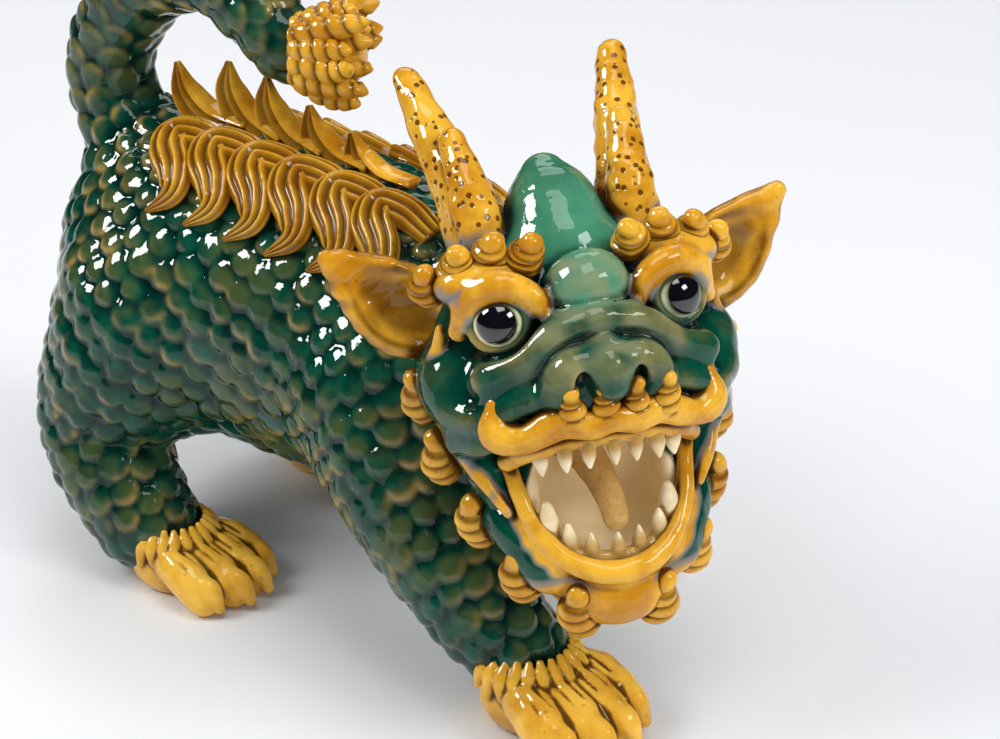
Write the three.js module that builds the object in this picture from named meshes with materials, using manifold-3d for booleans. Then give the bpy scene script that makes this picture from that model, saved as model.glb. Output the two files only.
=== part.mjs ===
// A sancai-glazed stoneware foo dog with a horned dragon head, modelled as the separate
// clay pieces that a potter presses, rolls and lutes together before the firing.
// Millimetres, +Z up. The dog's body points along +X and its left side is +Y.
import * as THREE from "three";
import { mergeVertices } from "three/addons/utils/BufferGeometryUtils.js";
import Module from "manifold-3d";

const wasm = await Module();
wasm.setup();

// ---------------------------------------------------------------- driving dimensions
const SEAM = 0.3; // slip seam between two luted pieces
const FACET = 0.15; // flattest step worth keeping in a faceted surface
const WALL = 5; // pressed clay wall of the hollow body
const VENT_RADIUS = 4; // kiln vent in the belly
const VENT_LENGTH = 24;
const VENT_X = -18;
const BELLY = 34;
const CENTRE = [14.1, -1.5, 0]; // middle of the footprint, which becomes the origin
const FLAT_SOLE = 0; // height of the ground face of each paw
const SIDES = { right: -1, left: 1 };

// Routes are [x, y, z, radius] stations of a round-ended sweep.
const TORSO = [
  [-64, 0, 76, 25],
  [-48, 0, 74, 38],
  [-18, 0, 72, 40],
  [14, 0, 70, 39],
  [38, -2, 70, 35],
  [56, -8, 76, 27],
];
const TORSO_WIDTH = 0.92; // side to side against top to bottom
const TAIL = [
  [-66, 0, 96, 13],
  [-78, 0, 113, 11],
  [-76, 0, 130, 10.5],
  [-62, 0, 146, 10.5],
  [-44, 0, 152, 10],
  [-30, 0, 146, 9.5],
  [-20, 0, 137, 8.5],
];
const TUFT = {
  centre: [-3, 0, 139],
  core: 8,
  lifts: [60, 20, -20, -55], // upward tilt of each row of curls
  perRow: 3,
  curlRadius: 4.2,
  turn: 28, // towards the left of the body
};
const LEGS = {
  right_fore_leg: [
    [26, -20, 62, 24],
    [40, -30, 46, 17],
    [56, -33, 30, 14],
    [70, -32, 17, 11.5],
  ],
  left_fore_leg: [
    [22, 20, 62, 24],
    [28, 32, 44, 16],
    [30, 36, 28, 13],
    [34, 36, 16, 11.5],
  ],
  right_hind_leg: [
    [-50, -17, 64, 28],
    [-62, -27, 40, 18],
    [-57, -31, 27, 15],
    [-46, -33, 15, 13],
  ],
  left_hind_leg: [
    [-50, 17, 64, 28],
    [-64, 29, 40, 18],
    [-62, 35, 26, 15],
    [-52, 38, 16, 12.5],
  ],
};
// Each paw: its leg, its heel, the way it points (degrees from +X) and its relative size.
const PAWS = {
  right_fore_paw: { leg: "right_fore_leg", heel: [72, -32], heading: -8, size: 1 },
  left_fore_paw: { leg: "left_fore_leg", heel: [36, 36], heading: 10, size: 0.94 },
  right_hind_paw: { leg: "right_hind_leg", heel: [-40, -32], heading: 4, size: 0.9 },
  left_hind_paw: { leg: "left_hind_leg", heel: [-50, 39], heading: 10, size: 0.9 },
};
const PAW = { length: 30, toes: 4, toeRadius: 6, toePitch: 8, heelRadius: 14.5, height: 17 };

const MANE = {
  locks: 6,
  first: -44,
  pitch: 12.5,
  radius: 4.6,
  farSideDrop: 26, // degrees that the left locks sit lower than the right ones
};
// Dorsal fins: x of the foot on the spine, then x and z of the tip.
const CREST = [
  [-36, -55, 125],
  [-25, -37, 129],
  [-12, -25, 127],
  [2, -12, 122],
  [15, 1, 118],
];
const FIN_RADIUS = 4.4;

// The head's own frame: x out of the face, y to its left ear, z to its crown.
const HEAD = { centre: [79, -21.5, 83.5], yaw: -41, pitch: 14, roll: 3 };
const SKULL = { centre: [-4, 0, 12], radii: [27, 31, 28] };
const THROAT = { centre: [-2, 0, -16], radii: [16, 25, 20] };
const MUZZLE = [
  [4, 0, 4, 22],
  [16, 0, 7, 19],
  [23, 0, 8, 12],
];
const MUZZLE_WIDTH = 1.15;
const CHEEK_BAR = [
  [4, 25, 8, 10],
  [8, 23.5, -8, 7.5],
  [12, 18.5, -25, 5],
];
const MOUTH = [
  [11, 0, -20, 12],
  [22, 0, -21, 13.8],
  [48, 0, -23, 18],
];
const MOUTH_WIDTH = 1.28;
const JAW_FLOOR = [
  [-2, 0, -37, 10],
  [9, 0, -40, 10.5],
  [19, 0, -41, 9.5],
];
const JAW_CORNER = [
  [-4, 13, -33, 7],
  [8, 13, -33, 7],
  [16, 10, -35, 6],
];
// Half of each symmetric roll, from its right end to the middle of the face.
const LIP = [
  [15, -20.5, -11, 2.2],
  [20.5, -17.5, -24, 2.5],
  [26, -11, -33, 2.9],
  [29, 0, -36.5, 3.2],
];
const MOUSTACHE = [
  [26.5, -24, -1, 3.8],
  [29, -18.5, -3, 3.4],
  [32, -11, 0, 4],
  [34.5, 0, -0.4, 3.4],
];
const UPPER_TEETH = {
  gum: [[23, -17, -6, 1.8], [29, -9, -5.5, 1.8], [31, 0, -5, 1.8]],
  count: 7,
  point: -1,
  widest: 1.35,
};
const LOWER_TEETH = {
  gum: [[18, -15.5, -27, 1.8], [23, -9, -32.5, 1.8], [25, 0, -34, 1.8]],
  count: 7,
  point: 1,
  widest: 1.7,
};
const TOOTH = { radius: 2, height: 6 };
const TONGUE = [
  [2, -1, -14, 4.2],
  [13, -1, -15, 4.2],
  [22, 0, -20, 3.6],
  [25, 0.5, -25, 2.8],
];
const HORN = [
  [-6, 17, 34, 7.2],
  [-12, 19, 46, 5.8],
  [-21, 21.5, 58, 5],
  [-30.5, 24.2, 69, 3.4],
];
const HORN_TINE = [
  [1, 17.5, 33, 6.2],
  [-1, 18, 44, 5.4],
  [-9, 19.5, 57, 3.2],
];
const EAR = [
  [-3, 28, 18, 7],
  [-2, 36, 22.5, 10.5],
  [-2, 44.5, 30, 7],
  [-1, 52, 37, 2.2],
];
const EAR_SCOOP = [
  [3.2, 30.5, 18.5, 3.6],
  [3, 36.5, 23.5, 7.4],
  [2.6, 44, 30, 4.2],
  [2.2, 48.5, 34.5, 1.3],
];
const EYE = { x: 21, y: 19.5, z: 21.5, radius: 6.2 };
const BROW = [
  [17, 28, 20, 2.4],
  [20.5, 25.5, 27, 3.2],
  [23.5, 19.5, 30, 3.4],
  [25.5, 13, 27.5, 2.8],
];
const BROW_CURL_FEET = [
  [9, 32, 28],
  [14, 26, 32],
  [16, 19, 34],
  [18, 12, 33],
];
const BROW_CURL = { radius: 4.5, height: 8.6, segments: 6 };
const BEARD_CURL = { radius: 5.1, height: 12.5, segments: 8 };
const SMALL_CURL = { radius: 3.5, height: 9.4, segments: 6 };
// The middle of each beard curl, from the ear down to the chin.
const BEARD = [
  [-2, 35, 4],
  [0, 32.5, -10],
  [7, 27.5, -24],
  [15, 20.5, -36],
  [22.5, 9.5, -44],
];
const KNOB = { centre: [23.5, 0, 27.5], radii: [8.3, 9.2, 7.6] };
const CROWN = [
  [2, 0, 32, 12.5],
  [-3, 0, 39, 11],
  [-7, 0, 46, 6],
];
const NOSE = { centre: [35.5, 0, 11.5], radii: [6.5, 6, 6.5] };
const NOSE_WING = [
  [35, 3.5, 13, 3.8],
  [34.8, 8, 11.5, 4.5],
  [33.5, 10.4, 7, 3.8],
];
const CHEEK_ROLL = [
  [31.5, 3, 20.8, 2.9],
  [30.8, 9, 19.5, 3.3],
  [28.5, 16, 14.5, 3.9],
  [23.5, 24, 9.5, 4],
];
const MOUSTACHE_CURLS = { count: 4, pitch: 7.1, shift: 1.8, x: 34.6, z: 0.2 };

// ---------------------------------------------------------------- small tools
const radians = THREE.MathUtils.degToRad;
const vector = (p) => new THREE.Vector3(p[0], p[1], p[2]);

function solidOf(geometry) {
  const bare = geometry.clone();
  bare.deleteAttribute("normal");
  bare.deleteAttribute("uv");
  const merged = mergeVertices(bare, 1e-3);
  return new wasm.Manifold(
    new wasm.Mesh({
      numProp: 3,
      vertProperties: new Float32Array(merged.attributes.position.array),
      triVerts: new Uint32Array(merged.index.array),
    }),
  );
}

function geometryOf(solid) {
  const mesh = solid.getMesh();
  const geometry = new THREE.BufferGeometry();
  geometry.setAttribute("position", new THREE.BufferAttribute(mesh.vertProperties, 3));
  geometry.setIndex(new THREE.BufferAttribute(mesh.triVerts, 1));
  geometry.computeVertexNormals();
  return geometry;
}

// A route with its y kept (1) or turned over (-1).
const mirror = (sign, route) => route.map(([x, y, ...rest]) => [x, sign * y, ...rest]);
// A whole symmetric route from its right half, which ends at the middle of the face.
const bothSides = (half) => [...half, ...mirror(-1, half.slice(0, -1)).reverse()];

const moved = (solid, matrix) => solid.transform(matrix.elements);
const union = (solids) => solids.reduce((all, one) => all.add(one));
const cutBy = (solid, ...others) => others.reduce((left, one) => left.subtract(one), solid);

// The largest single body of a cut, so that no loose sliver is left beside it.
function mainBody(solid) {
  return solid.decompose().sort((a, b) => b.volume() - a.volume())[0];
}

// Rings along a route, with `capRings` more that round off each end.
function stations(route, steps, capRings) {
  const line = new THREE.CatmullRomCurve3(route.map(vector));
  const width = new THREE.CatmullRomCurve3(route.map((p) => new THREE.Vector3(p[3], 0, 0)));
  const rings = [];
  const ring = (t, along, scale) => {
    const radius = width.getPoint(t).x;
    const tangent = line.getTangent(t);
    rings.push({
      centre: line.getPoint(t).addScaledVector(tangent, along * radius),
      tangent,
      radius: radius * scale,
    });
  };
  const capAngle = (k) => radians((90 * k) / (capRings + 1));
  for (let k = capRings; k > 0; k--) ring(0, -Math.sin(capAngle(k)), Math.cos(capAngle(k)));
  for (let i = 0; i <= steps; i++) ring(i / steps, 0, 1);
  for (let k = 1; k <= capRings; k++) ring(1, Math.sin(capAngle(k)), Math.cos(capAngle(k)));
  return rings;
}

// A round-ended sweep. `across` is the direction that `flatten` narrows or widens.
function sweep(route, options = {}) {
  const { steps = 10, sides = 12, capRings = 3, grow = 0, flatten = 1, across = [0, 1, 0] } = options;
  const rings = stations(route.map(([x, y, z, r]) => [x, y, z, r + grow]), steps, capRings);
  const geometry = new THREE.CylinderGeometry(1, 1, 1, sides, rings.length - 1);
  const position = geometry.attributes.position;
  const reference = vector(across);
  for (let i = 0; i < position.count; i++) {
    const { centre, tangent, radius } = rings[Math.round((0.5 - position.getY(i)) * (rings.length - 1))];
    const rise = new THREE.Vector3().crossVectors(tangent, reference).normalize();
    const side = new THREE.Vector3().crossVectors(rise, tangent);
    const point = centre
      .clone()
      .addScaledVector(side, position.getX(i) * radius * flatten)
      .addScaledVector(rise, position.getZ(i) * radius);
    position.setXYZ(i, point.x, point.y, point.z);
  }
  return solidOf(geometry);
}

function ball(centre, radii, { width = 14, height = 9, grow = 0, tilt = [0, 0, 0] } = {}) {
  const size = Array.isArray(radii) ? radii : [radii, radii, radii];
  const geometry = new THREE.SphereGeometry(1, width, height);
  geometry.scale(size[0] + grow, size[1] + grow, size[2] + grow);
  geometry.rotateX(radians(tilt[0])).rotateY(radians(tilt[1])).rotateZ(radians(tilt[2]));
  geometry.translate(...centre);
  return solidOf(geometry);
}

function box(low, high) {
  const size = high.map((h, i) => h - low[i]);
  const geometry = new THREE.BoxGeometry(...size);
  geometry.translate(...low.map((l, i) => l + size[i] / 2));
  return solidOf(geometry);
}

// A surface of revolution about the line from `foot` along `axis`.
function turned(profile, foot, axis, segments = 9) {
  const geometry = new THREE.LatheGeometry(profile.map(([r, h]) => new THREE.Vector2(r, h)), segments);
  const upright = new THREE.Vector3(0, 1, 0);
  const turn = new THREE.Quaternion().setFromUnitVectors(upright, vector(axis).normalize());
  geometry.applyQuaternion(turn).translate(...foot);
  return solidOf(geometry);
}

// ---------------------------------------------------------------- materials
const glaze = (color) => new THREE.MeshStandardMaterial({ color, roughness: 0.12, metalness: 0 });
const GREEN = glaze(0x14573f);
const AMBER = glaze(0xc8871c);
const CREAM = glaze(0xe6d3a8);
const BLACK = glaze(0x0a0a0c);
const BISQUE = new THREE.MeshStandardMaterial({ color: 0xb98a4a, roughness: 0.75, metalness: 0 });

// ---------------------------------------------------------------- luting the pieces together
const statue = new THREE.Group();
const laid = []; // each earlier piece as the seat that it leaves in its neighbours

const near = (a, b) => [0, 1, 2].every((i) => a.min[i] < b.max[i] && b.min[i] < a.max[i]);

// Adds a piece, cut back by a seam from every earlier piece that it meets.
// `build` returns the piece's solid, grown outward by the distance it is given.
function lute(name, build, material) {
  const raw = build(0);
  const bounds = raw.boundingBox();
  const seats = laid.filter((seat) => near(bounds, seat.boundingBox()));
  const cut = mainBody(cutBy(raw, ...seats).simplify(FACET));
  const mesh = new THREE.Mesh(geometryOf(cut), material);
  mesh.name = name;
  statue.add(mesh);
  laid.push(build(SEAM));
}

// ---------------------------------------------------------------- body
const REACH = 300; // larger than the whole dog, for half-space cuts
const torso = (grow) => sweep(TORSO, { steps: 7, sides: 14, capRings: 2, grow, flatten: TORSO_WIDTH });
const underground = box([-REACH, -REACH, -REACH], [REACH, REACH, FLAT_SOLE]);

// Two pressed halves that meet on the dog's middle plane, hollow, with one kiln vent.
function bodyShells() {
  const vent = new THREE.CylinderGeometry(VENT_RADIUS, VENT_RADIUS, VENT_LENGTH, 12);
  vent.rotateX(Math.PI / 2).translate(VENT_X, 0, BELLY);
  const shell = cutBy(torso(0), torso(-WALL), solidOf(vent));
  const half = SEAM / 2;
  const rightHalf = box([-REACH, -REACH, -REACH], [REACH, -half, REACH]);
  const leftHalf = box([-REACH, half, -REACH], [REACH, REACH, REACH]);
  lute("body_shell_right", () => shell.intersect(rightHalf), GREEN);
  laid.length = 0;
  lute("body_shell_left", () => shell.intersect(leftHalf), GREEN);
  laid[0] = torso(SEAM);
}

// A point on the body's surface: `along` is x, `down` is degrees from the spine.
function onTorso(along, down, lift, side) {
  const line = new THREE.CatmullRomCurve3(TORSO.map(vector));
  const width = new THREE.CatmullRomCurve3(TORSO.map((p) => new THREE.Vector3(p[3], 0, 0)));
  let t = 0;
  while (t < 1 && line.getPoint(t).x < along) t += 0.01;
  const centre = line.getPoint(t);
  const radius = width.getPoint(t).x + lift;
  const angle = radians(down);
  return [
    along,
    centre.y + side * Math.sin(angle) * radius * TORSO_WIDTH,
    centre.z + Math.cos(angle) * radius,
  ];
}

// ---------------------------------------------------------------- legs and paws
const leg = (name, grow) =>
  sweep(LEGS[name], { steps: 6, sides: 10, capRings: 2, grow, across: [0.1, 1, 0] });

// A paw: a low domed back, and toes side by side that bend down to the flat sole.
function paw({ heel, heading, size }, grow) {
  const { length, toes, toeRadius, toePitch, heelRadius, height } = PAW;
  const back = [heelRadius, heelRadius * 0.9, height * 0.62];
  const pieces = [ball([4, 0, 7], back, { width: 10, height: 6, grow })];
  for (let i = 0; i < toes; i++) {
    const offset = i - (toes - 1) / 2;
    const reach = length - 2.2 * offset * offset;
    const spread = offset * toePitch;
    const toe = [
      [4, spread * 0.55, height * 0.5, toeRadius * 0.9],
      [reach * 0.6, spread * 0.9, height * 0.52, toeRadius],
      [reach * 0.86, spread, height * 0.28, toeRadius * 0.9],
    ];
    pieces.push(sweep(toe, { steps: 2, sides: 6, capRings: 1, grow }));
  }
  const turn = new THREE.Matrix4().makeRotationZ(radians(heading));
  turn.scale(new THREE.Vector3(size, size, size)).setPosition(heel[0], heel[1], 0);
  return moved(union(pieces), turn).subtract(underground);
}

function legsAndPaws() {
  for (const [name, spec] of Object.entries(PAWS)) {
    lute(spec.leg, (grow) => leg(spec.leg, grow), GREEN);
    lute(name, (grow) => paw(spec, grow), AMBER);
  }
}

// ---------------------------------------------------------------- tail
const tail = (grow) => sweep(TAIL, { steps: 9, sides: 9, capRings: 1, grow });

// Ringed curls, like a bunch of small caterpillars, that fan out forwards from the tail's end.
// They are placed about the origin and then turned and moved onto the tail.
function tailTuft(grow) {
  const { centre, core, lifts, perRow, curlRadius, turn } = TUFT;
  const heart = [[-11, 0, -2, core * 0.9], [-4, 0, -1, core], [3, 0, 0, core * 0.8]];
  const curls = [sweep(heart, { steps: 2, sides: 8, capRings: 1, grow })];
  for (const lift of lifts.map(radians)) {
    for (let k = 0; k < perRow; k++) {
      const swing = (k - (perRow - 1) / 2) * 0.66;
      const ahead = Math.cos(swing) * (0.4 + 0.6 * Math.cos(lift));
      const place = (start, along, aside, rise) => [
        start + ahead * along,
        Math.sin(swing) * aside,
        Math.sin(lift) * rise,
      ];
      const route = [
        [...place(-11, 0, 7.5, 9), curlRadius * 0.85],
        [...place(-4, 3, 8.5, 11), curlRadius],
        [...place(4, 8, 10, 13), curlRadius * 0.6],
      ];
      curls.push(sweep(route, { steps: 2, sides: 5, capRings: 1, grow }));
    }
  }
  const seat = new THREE.Matrix4().makeRotationZ(radians(turn)).setPosition(...centre);
  return moved(union(curls), seat);
}

// ---------------------------------------------------------------- mane and dorsal crest
// An S-shaped lock that springs from the spine, rolls back, and tapers down the flank.
function maneLock(index, side, grow) {
  const x = MANE.first + index * MANE.pitch;
  const lower = side > 0 ? MANE.farSideDrop : 0;
  const shape = [
    [14, 17, 1, 0.8],
    [1, 15, 2.2, 1],
    [-1, 23, 2.4, 1.05],
    [4, 33, 2.2, 1],
    [8, 42, 1.8, 0.7],
    [3, 50, 1.2, 0.3],
  ];
  const route = shape.map(([back, down, lift, width]) => {
    const point = onTorso(x + back, down + lower, lift, side);
    return [...point, MANE.radius * width];
  });
  return sweep(route, { steps: 4, sides: 5, capRings: 1, grow });
}

// A folded leaf that stands on the spine and sweeps back to a point.
function crestFin([x, tipX, tipZ], grow) {
  const [, y, z] = onTorso(x, 0, -1, 1);
  const bend = (t, sag) => [x + (tipX - x) * t, y, z + (tipZ - z) * t - sag];
  const route = [
    [...bend(0, 1), FIN_RADIUS],
    [...bend(0.4, -1), FIN_RADIUS * 1.05],
    [...bend(0.75, 0), FIN_RADIUS * 0.7],
    [...bend(1, 0), FIN_RADIUS * 0.25],
  ];
  return sweep(route, { steps: 3, sides: 6, capRings: 1, grow, flatten: 0.8 });
}

function maneAndCrest() {
  CREST.forEach((fin, i) => lute(`crest_fin_${i + 1}`, (grow) => crestFin(fin, grow), AMBER));
  for (const [word, side] of Object.entries(SIDES)) {
    for (let i = 0; i < MANE.locks; i++) {
      lute(`${word}_mane_lock_${i + 1}`, (grow) => maneLock(i, side, grow), AMBER);
    }
  }
}

// ---------------------------------------------------------------- head
const headFrame = new THREE.Matrix4().makeRotationFromEuler(
  new THREE.Euler(radians(HEAD.roll), radians(-HEAD.pitch), radians(HEAD.yaw), "ZYX"),
);
headFrame.setPosition(...HEAD.centre);

function luteOnHead(name, build, material) {
  lute(name, (grow) => moved(build(grow), headFrame), material);
}

// The open mouth, which widens from the throat to the lips.
const mouthSpace = (grow) => sweep(MOUTH, { steps: 2, sides: 12, capRings: 2, grow, flatten: MOUTH_WIDTH });

// The skull with the upper jaw, the cheeks and the bars beside the hinge of the jaw.
function skull(grow) {
  const rounded = { steps: 3, sides: 7, capRings: 2, grow };
  const bars = [-1, 1].map((side) => sweep(mirror(side, CHEEK_BAR), rounded));
  const whole = union([
    ball(SKULL.centre, SKULL.radii, { width: 14, height: 8, grow }),
    sweep(MUZZLE, { steps: 2, sides: 12, capRings: 2, grow, flatten: MUZZLE_WIDTH }),
    ball(THROAT.centre, THROAT.radii, { width: 12, height: 7, grow }),
    ...bars,
  ]);
  return whole.subtract(mouthSpace(-grow));
}

// A trough: the floor, its raised corners, and the rolled lip round the mouth's lower edge.
function lowerJaw(grow) {
  const floor = sweep(JAW_FLOOR, { steps: 2, sides: 10, capRings: 2, grow, flatten: 1.5 });
  const lip = sweep(bothSides(LIP), {
    steps: 10,
    sides: 6,
    capRings: 1,
    grow,
    across: [0.6, 0, 1],
  });
  const rounded = { steps: 2, sides: 8, capRings: 1, grow };
  const corners = [-1, 1].map((side) => sweep(mirror(side, JAW_CORNER), rounded));
  return union([union([floor, ...corners]).subtract(mouthSpace(-grow)), lip]);
}

// A forked horn: the main branch leans back, and a shorter tine stands before it.
function horn(side, grow) {
  return union([
    sweep(mirror(side, HORN), { steps: 4, sides: 8, capRings: 1, grow }),
    sweep(mirror(side, HORN_TINE), { steps: 3, sides: 8, capRings: 1, grow }),
  ]);
}

// A cupped leaf: a flattened teardrop with a smaller one scooped out of its front.
function ear(side, grow) {
  const cupped = { steps: 4, sides: 9, capRings: 1, across: [1, 0, 0] };
  const leaf = sweep(mirror(side, EAR), { ...cupped, grow, flatten: 0.55 });
  const scoop = sweep(mirror(side, EAR_SCOOP), { ...cupped, grow: -grow, flatten: 0.62 });
  return leaf.subtract(scoop);
}

const eye = (side, grow) => ball([EYE.x, side * EYE.y, EYE.z], EYE.radius, { width: 10, height: 7, grow });
const brow = (side, grow) =>
  sweep(mirror(side, BROW), { steps: 5, sides: 6, capRings: 1, grow, across: [1, 0, 0] });
const cheekRoll = (side, grow) =>
  sweep(mirror(side, CHEEK_ROLL), { steps: 5, sides: 6, capRings: 1, grow, across: [1, 0, 0] });

// A clay coil wound into a bud: wide at its foot, waisted, with a round bead on top.
function curl(foot, axis, { radius, height, segments }, grow) {
  const waist = [[0.9, -0.1], [1, 0.2], [0.72, 0.58], [0.56, 0.84]];
  const profile = [
    [0, -0.2 * height - grow],
    ...waist.map(([r, h]) => [r * radius + grow, h * height]),
    [0, height + grow],
  ];
  return turned(profile, foot, axis, segments);
}

// Small wound buds that stand along the brow, joined at their feet by a rolled strip.
function browCurls(side, grow) {
  const feet = mirror(side, BROW_CURL_FEET);
  const strip = feet.map((foot) => [...foot, 3]);
  const buds = feet.map((foot) => curl(foot, [0.66, 0, 0.75], BROW_CURL, grow));
  return union([sweep(strip, { steps: 4, sides: 5, capRings: 1, grow, across: [1, 0, 0] }), ...buds]);
}

// A beard curl stands nearly upright and leans out of the face, less so nearer the chin.
function beardCurl([x, y, z], index, side, grow) {
  const axis = [0.5 + 0.03 * index, side * (0.3 - 0.04 * index), 0.8];
  const [dx, dy, dz] = axis.map((part) => part * 0.48 * BEARD_CURL.height);
  return curl([x - dx, side * y - dy, z - dz], axis, BEARD_CURL, grow);
}

const knob = (grow) => ball(KNOB.centre, KNOB.radii, { width: 10, height: 7, grow });
const crown = (grow) => sweep(CROWN, { steps: 3, sides: 10, capRings: 2, grow });

function nose(grow) {
  const rounded = { steps: 2, sides: 7, capRings: 1, grow };
  const wings = [-1, 1].map((side) => sweep(mirror(side, NOSE_WING), rounded));
  return union([ball(NOSE.centre, NOSE.radii, { width: 10, height: 6, grow }), ...wings]);
}

// The rolled upper lip, and the little curls that stand on it.
function moustache(grow) {
  const roll = sweep(bothSides(MOUSTACHE), {
    steps: 8,
    sides: 6,
    capRings: 1,
    grow,
    across: [0, 0, 1],
  });
  const { count, pitch, shift, x, z } = MOUSTACHE_CURLS;
  const curls = [];
  for (let i = 0; i < count; i++) {
    const y = (i - (count - 1) / 2) * pitch + shift;
    curls.push(curl([x - Math.abs(y) * 0.1, y, z], [0.4, 0, 0.92], SMALL_CURL, grow));
  }
  return union([roll, ...curls]);
}

const tongue = (grow) => sweep(TONGUE, { steps: 4, sides: 7, capRings: 1, grow });

// Cones along a gum strip, with the widest at its two ends.
function teeth({ gum, count, point, widest }, grow) {
  const route = bothSides(gum);
  const line = new THREE.CatmullRomCurve3(route.map(vector));
  const parts = [sweep(route, { steps: 6, sides: 5, capRings: 1, grow, across: [0, 0, 1] })];
  for (let i = 0; i < count; i++) {
    const t = (i + 0.5) / count;
    const size = 1 + (widest - 1) * Math.abs(2 * t - 1) ** 3;
    const radius = TOOTH.radius * size + grow;
    const height = TOOTH.height * size + grow;
    const profile = [[0, -1], [radius, -0.5], [radius * 0.8, height * 0.45], [0, height]];
    parts.push(turned(profile, line.getPoint(t).toArray(), [0.1, 0, point], 5));
  }
  return union(parts);
}

function head() {
  luteOnHead("skull_and_upper_jaw", skull, GREEN);
  luteOnHead("lower_jaw", lowerJaw, AMBER);
  luteOnHead("crown_dome", crown, GREEN);
  luteOnHead("forehead_knob", knob, GREEN);
  luteOnHead("nose", nose, GREEN);
  luteOnHead("moustache", moustache, AMBER);
  luteOnHead("tongue", tongue, BISQUE);
  luteOnHead("upper_teeth", (grow) => teeth(UPPER_TEETH, grow), CREAM);
  luteOnHead("lower_teeth", (grow) => teeth(LOWER_TEETH, grow), CREAM);
  for (const [word, side] of Object.entries(SIDES)) {
    luteOnHead(`${word}_eye`, (grow) => eye(side, grow), BLACK);
    luteOnHead(`${word}_cheek_roll`, (grow) => cheekRoll(side, grow), GREEN);
    luteOnHead(`${word}_brow`, (grow) => brow(side, grow), AMBER);
    luteOnHead(`${word}_horn`, (grow) => horn(side, grow), AMBER);
    luteOnHead(`${word}_brow_curls`, (grow) => browCurls(side, grow), AMBER);
    luteOnHead(`${word}_ear`, (grow) => ear(side, grow), AMBER);
    BEARD.forEach((middle, i) => {
      luteOnHead(`${word}_beard_curl_${i + 1}`, (grow) => beardCurl(middle, i, side, grow), AMBER);
    });
  }
}

bodyShells();
legsAndPaws();
lute("tail", tail, GREEN);
lute("tail_tuft", tailTuft, AMBER);
head();
maneAndCrest();

statue.position.set(-CENTRE[0], -CENTRE[1], -CENTRE[2]);
export default statue;
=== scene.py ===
"""A sancai-glazed stoneware foo dog: the looks of each clay piece, in the CAD part's frame.

The clay is modelled in millimetres as signed distance fields and lofted coils, and is moved
into the part's frame, in metres, when each piece is made.
"""

import math

import bpy
import numpy as np
import openvdb
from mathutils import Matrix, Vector
from mathutils.kdtree import KDTree


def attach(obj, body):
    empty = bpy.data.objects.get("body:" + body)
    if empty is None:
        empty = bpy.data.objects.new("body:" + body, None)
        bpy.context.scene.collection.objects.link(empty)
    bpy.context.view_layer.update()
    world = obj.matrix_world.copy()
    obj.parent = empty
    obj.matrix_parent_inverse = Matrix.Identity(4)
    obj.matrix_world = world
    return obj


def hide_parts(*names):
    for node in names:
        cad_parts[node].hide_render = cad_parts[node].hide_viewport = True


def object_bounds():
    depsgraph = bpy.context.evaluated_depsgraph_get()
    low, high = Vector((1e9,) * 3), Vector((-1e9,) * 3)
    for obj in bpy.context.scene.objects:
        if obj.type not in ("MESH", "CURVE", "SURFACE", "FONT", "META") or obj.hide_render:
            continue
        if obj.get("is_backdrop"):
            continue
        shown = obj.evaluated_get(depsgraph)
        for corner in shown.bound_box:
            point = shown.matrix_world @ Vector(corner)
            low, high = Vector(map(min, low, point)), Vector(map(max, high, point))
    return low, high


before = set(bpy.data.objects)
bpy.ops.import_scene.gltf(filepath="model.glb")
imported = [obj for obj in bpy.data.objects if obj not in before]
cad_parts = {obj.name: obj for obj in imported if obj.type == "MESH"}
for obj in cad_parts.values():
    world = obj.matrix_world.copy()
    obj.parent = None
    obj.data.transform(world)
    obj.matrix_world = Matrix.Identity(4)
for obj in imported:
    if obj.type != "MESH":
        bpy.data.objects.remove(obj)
size_at_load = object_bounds()

# ---------------------------------------------------------------- driving dimensions (mm)
CENTRE = np.array([14.1, -1.5, 0.0])  # layout point that the part's frame starts from
MM = 0.001
FAR = 9.0  # distance stated beyond the reach of every shape
COARSE = 1.0
BODY_VOXEL = 0.6 * COARSE
HEAD_VOXEL = 0.5 * COARSE
PAW_VOXEL = 0.5 * COARSE
SMALL_VOXEL = 0.4 * COARSE
SIDES = {"right": -1, "left": 1}

# Routes are [x, y, z, radius] stations of a round-ended sweep.
TORSO = [
    [-64, 0, 76, 25],
    [-48, 0, 74, 38],
    [-18, 0, 72, 40],
    [14, 0, 70, 39],
    [38, -2, 70, 35],
    [56, -8, 76, 27],
]
TORSO_STRETCH = (1, 0.92, 1)
TAIL = [
    [-66, 0, 96, 13],
    [-78, 0, 113, 11],
    [-76, 0, 130, 10.5],
    [-62, 0, 146, 10.5],
    [-44, 0, 152, 10],
    [-30, 0, 146, 9.5],
    [-20, 0, 137, 8.5],
]
LEGS = {
    "right_fore": [[26, -20, 62, 24], [40, -30, 46, 17], [56, -33, 30, 14], [70, -32, 17, 11.5]],
    "left_fore": [[22, 20, 62, 24], [28, 32, 44, 16], [30, 36, 28, 13], [34, 36, 16, 11.5]],
    "right_hind": [[-50, -17, 64, 28], [-62, -27, 40, 18], [-57, -31, 27, 15], [-46, -33, 15, 13]],
    "left_hind": [[-50, 17, 64, 28], [-64, 29, 40, 18], [-62, 35, 26, 15], [-52, 38, 16, 12.5]],
}
LEG_BLEND = 9  # width of the clay smoothed in where a leg or the tail is luted on

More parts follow.
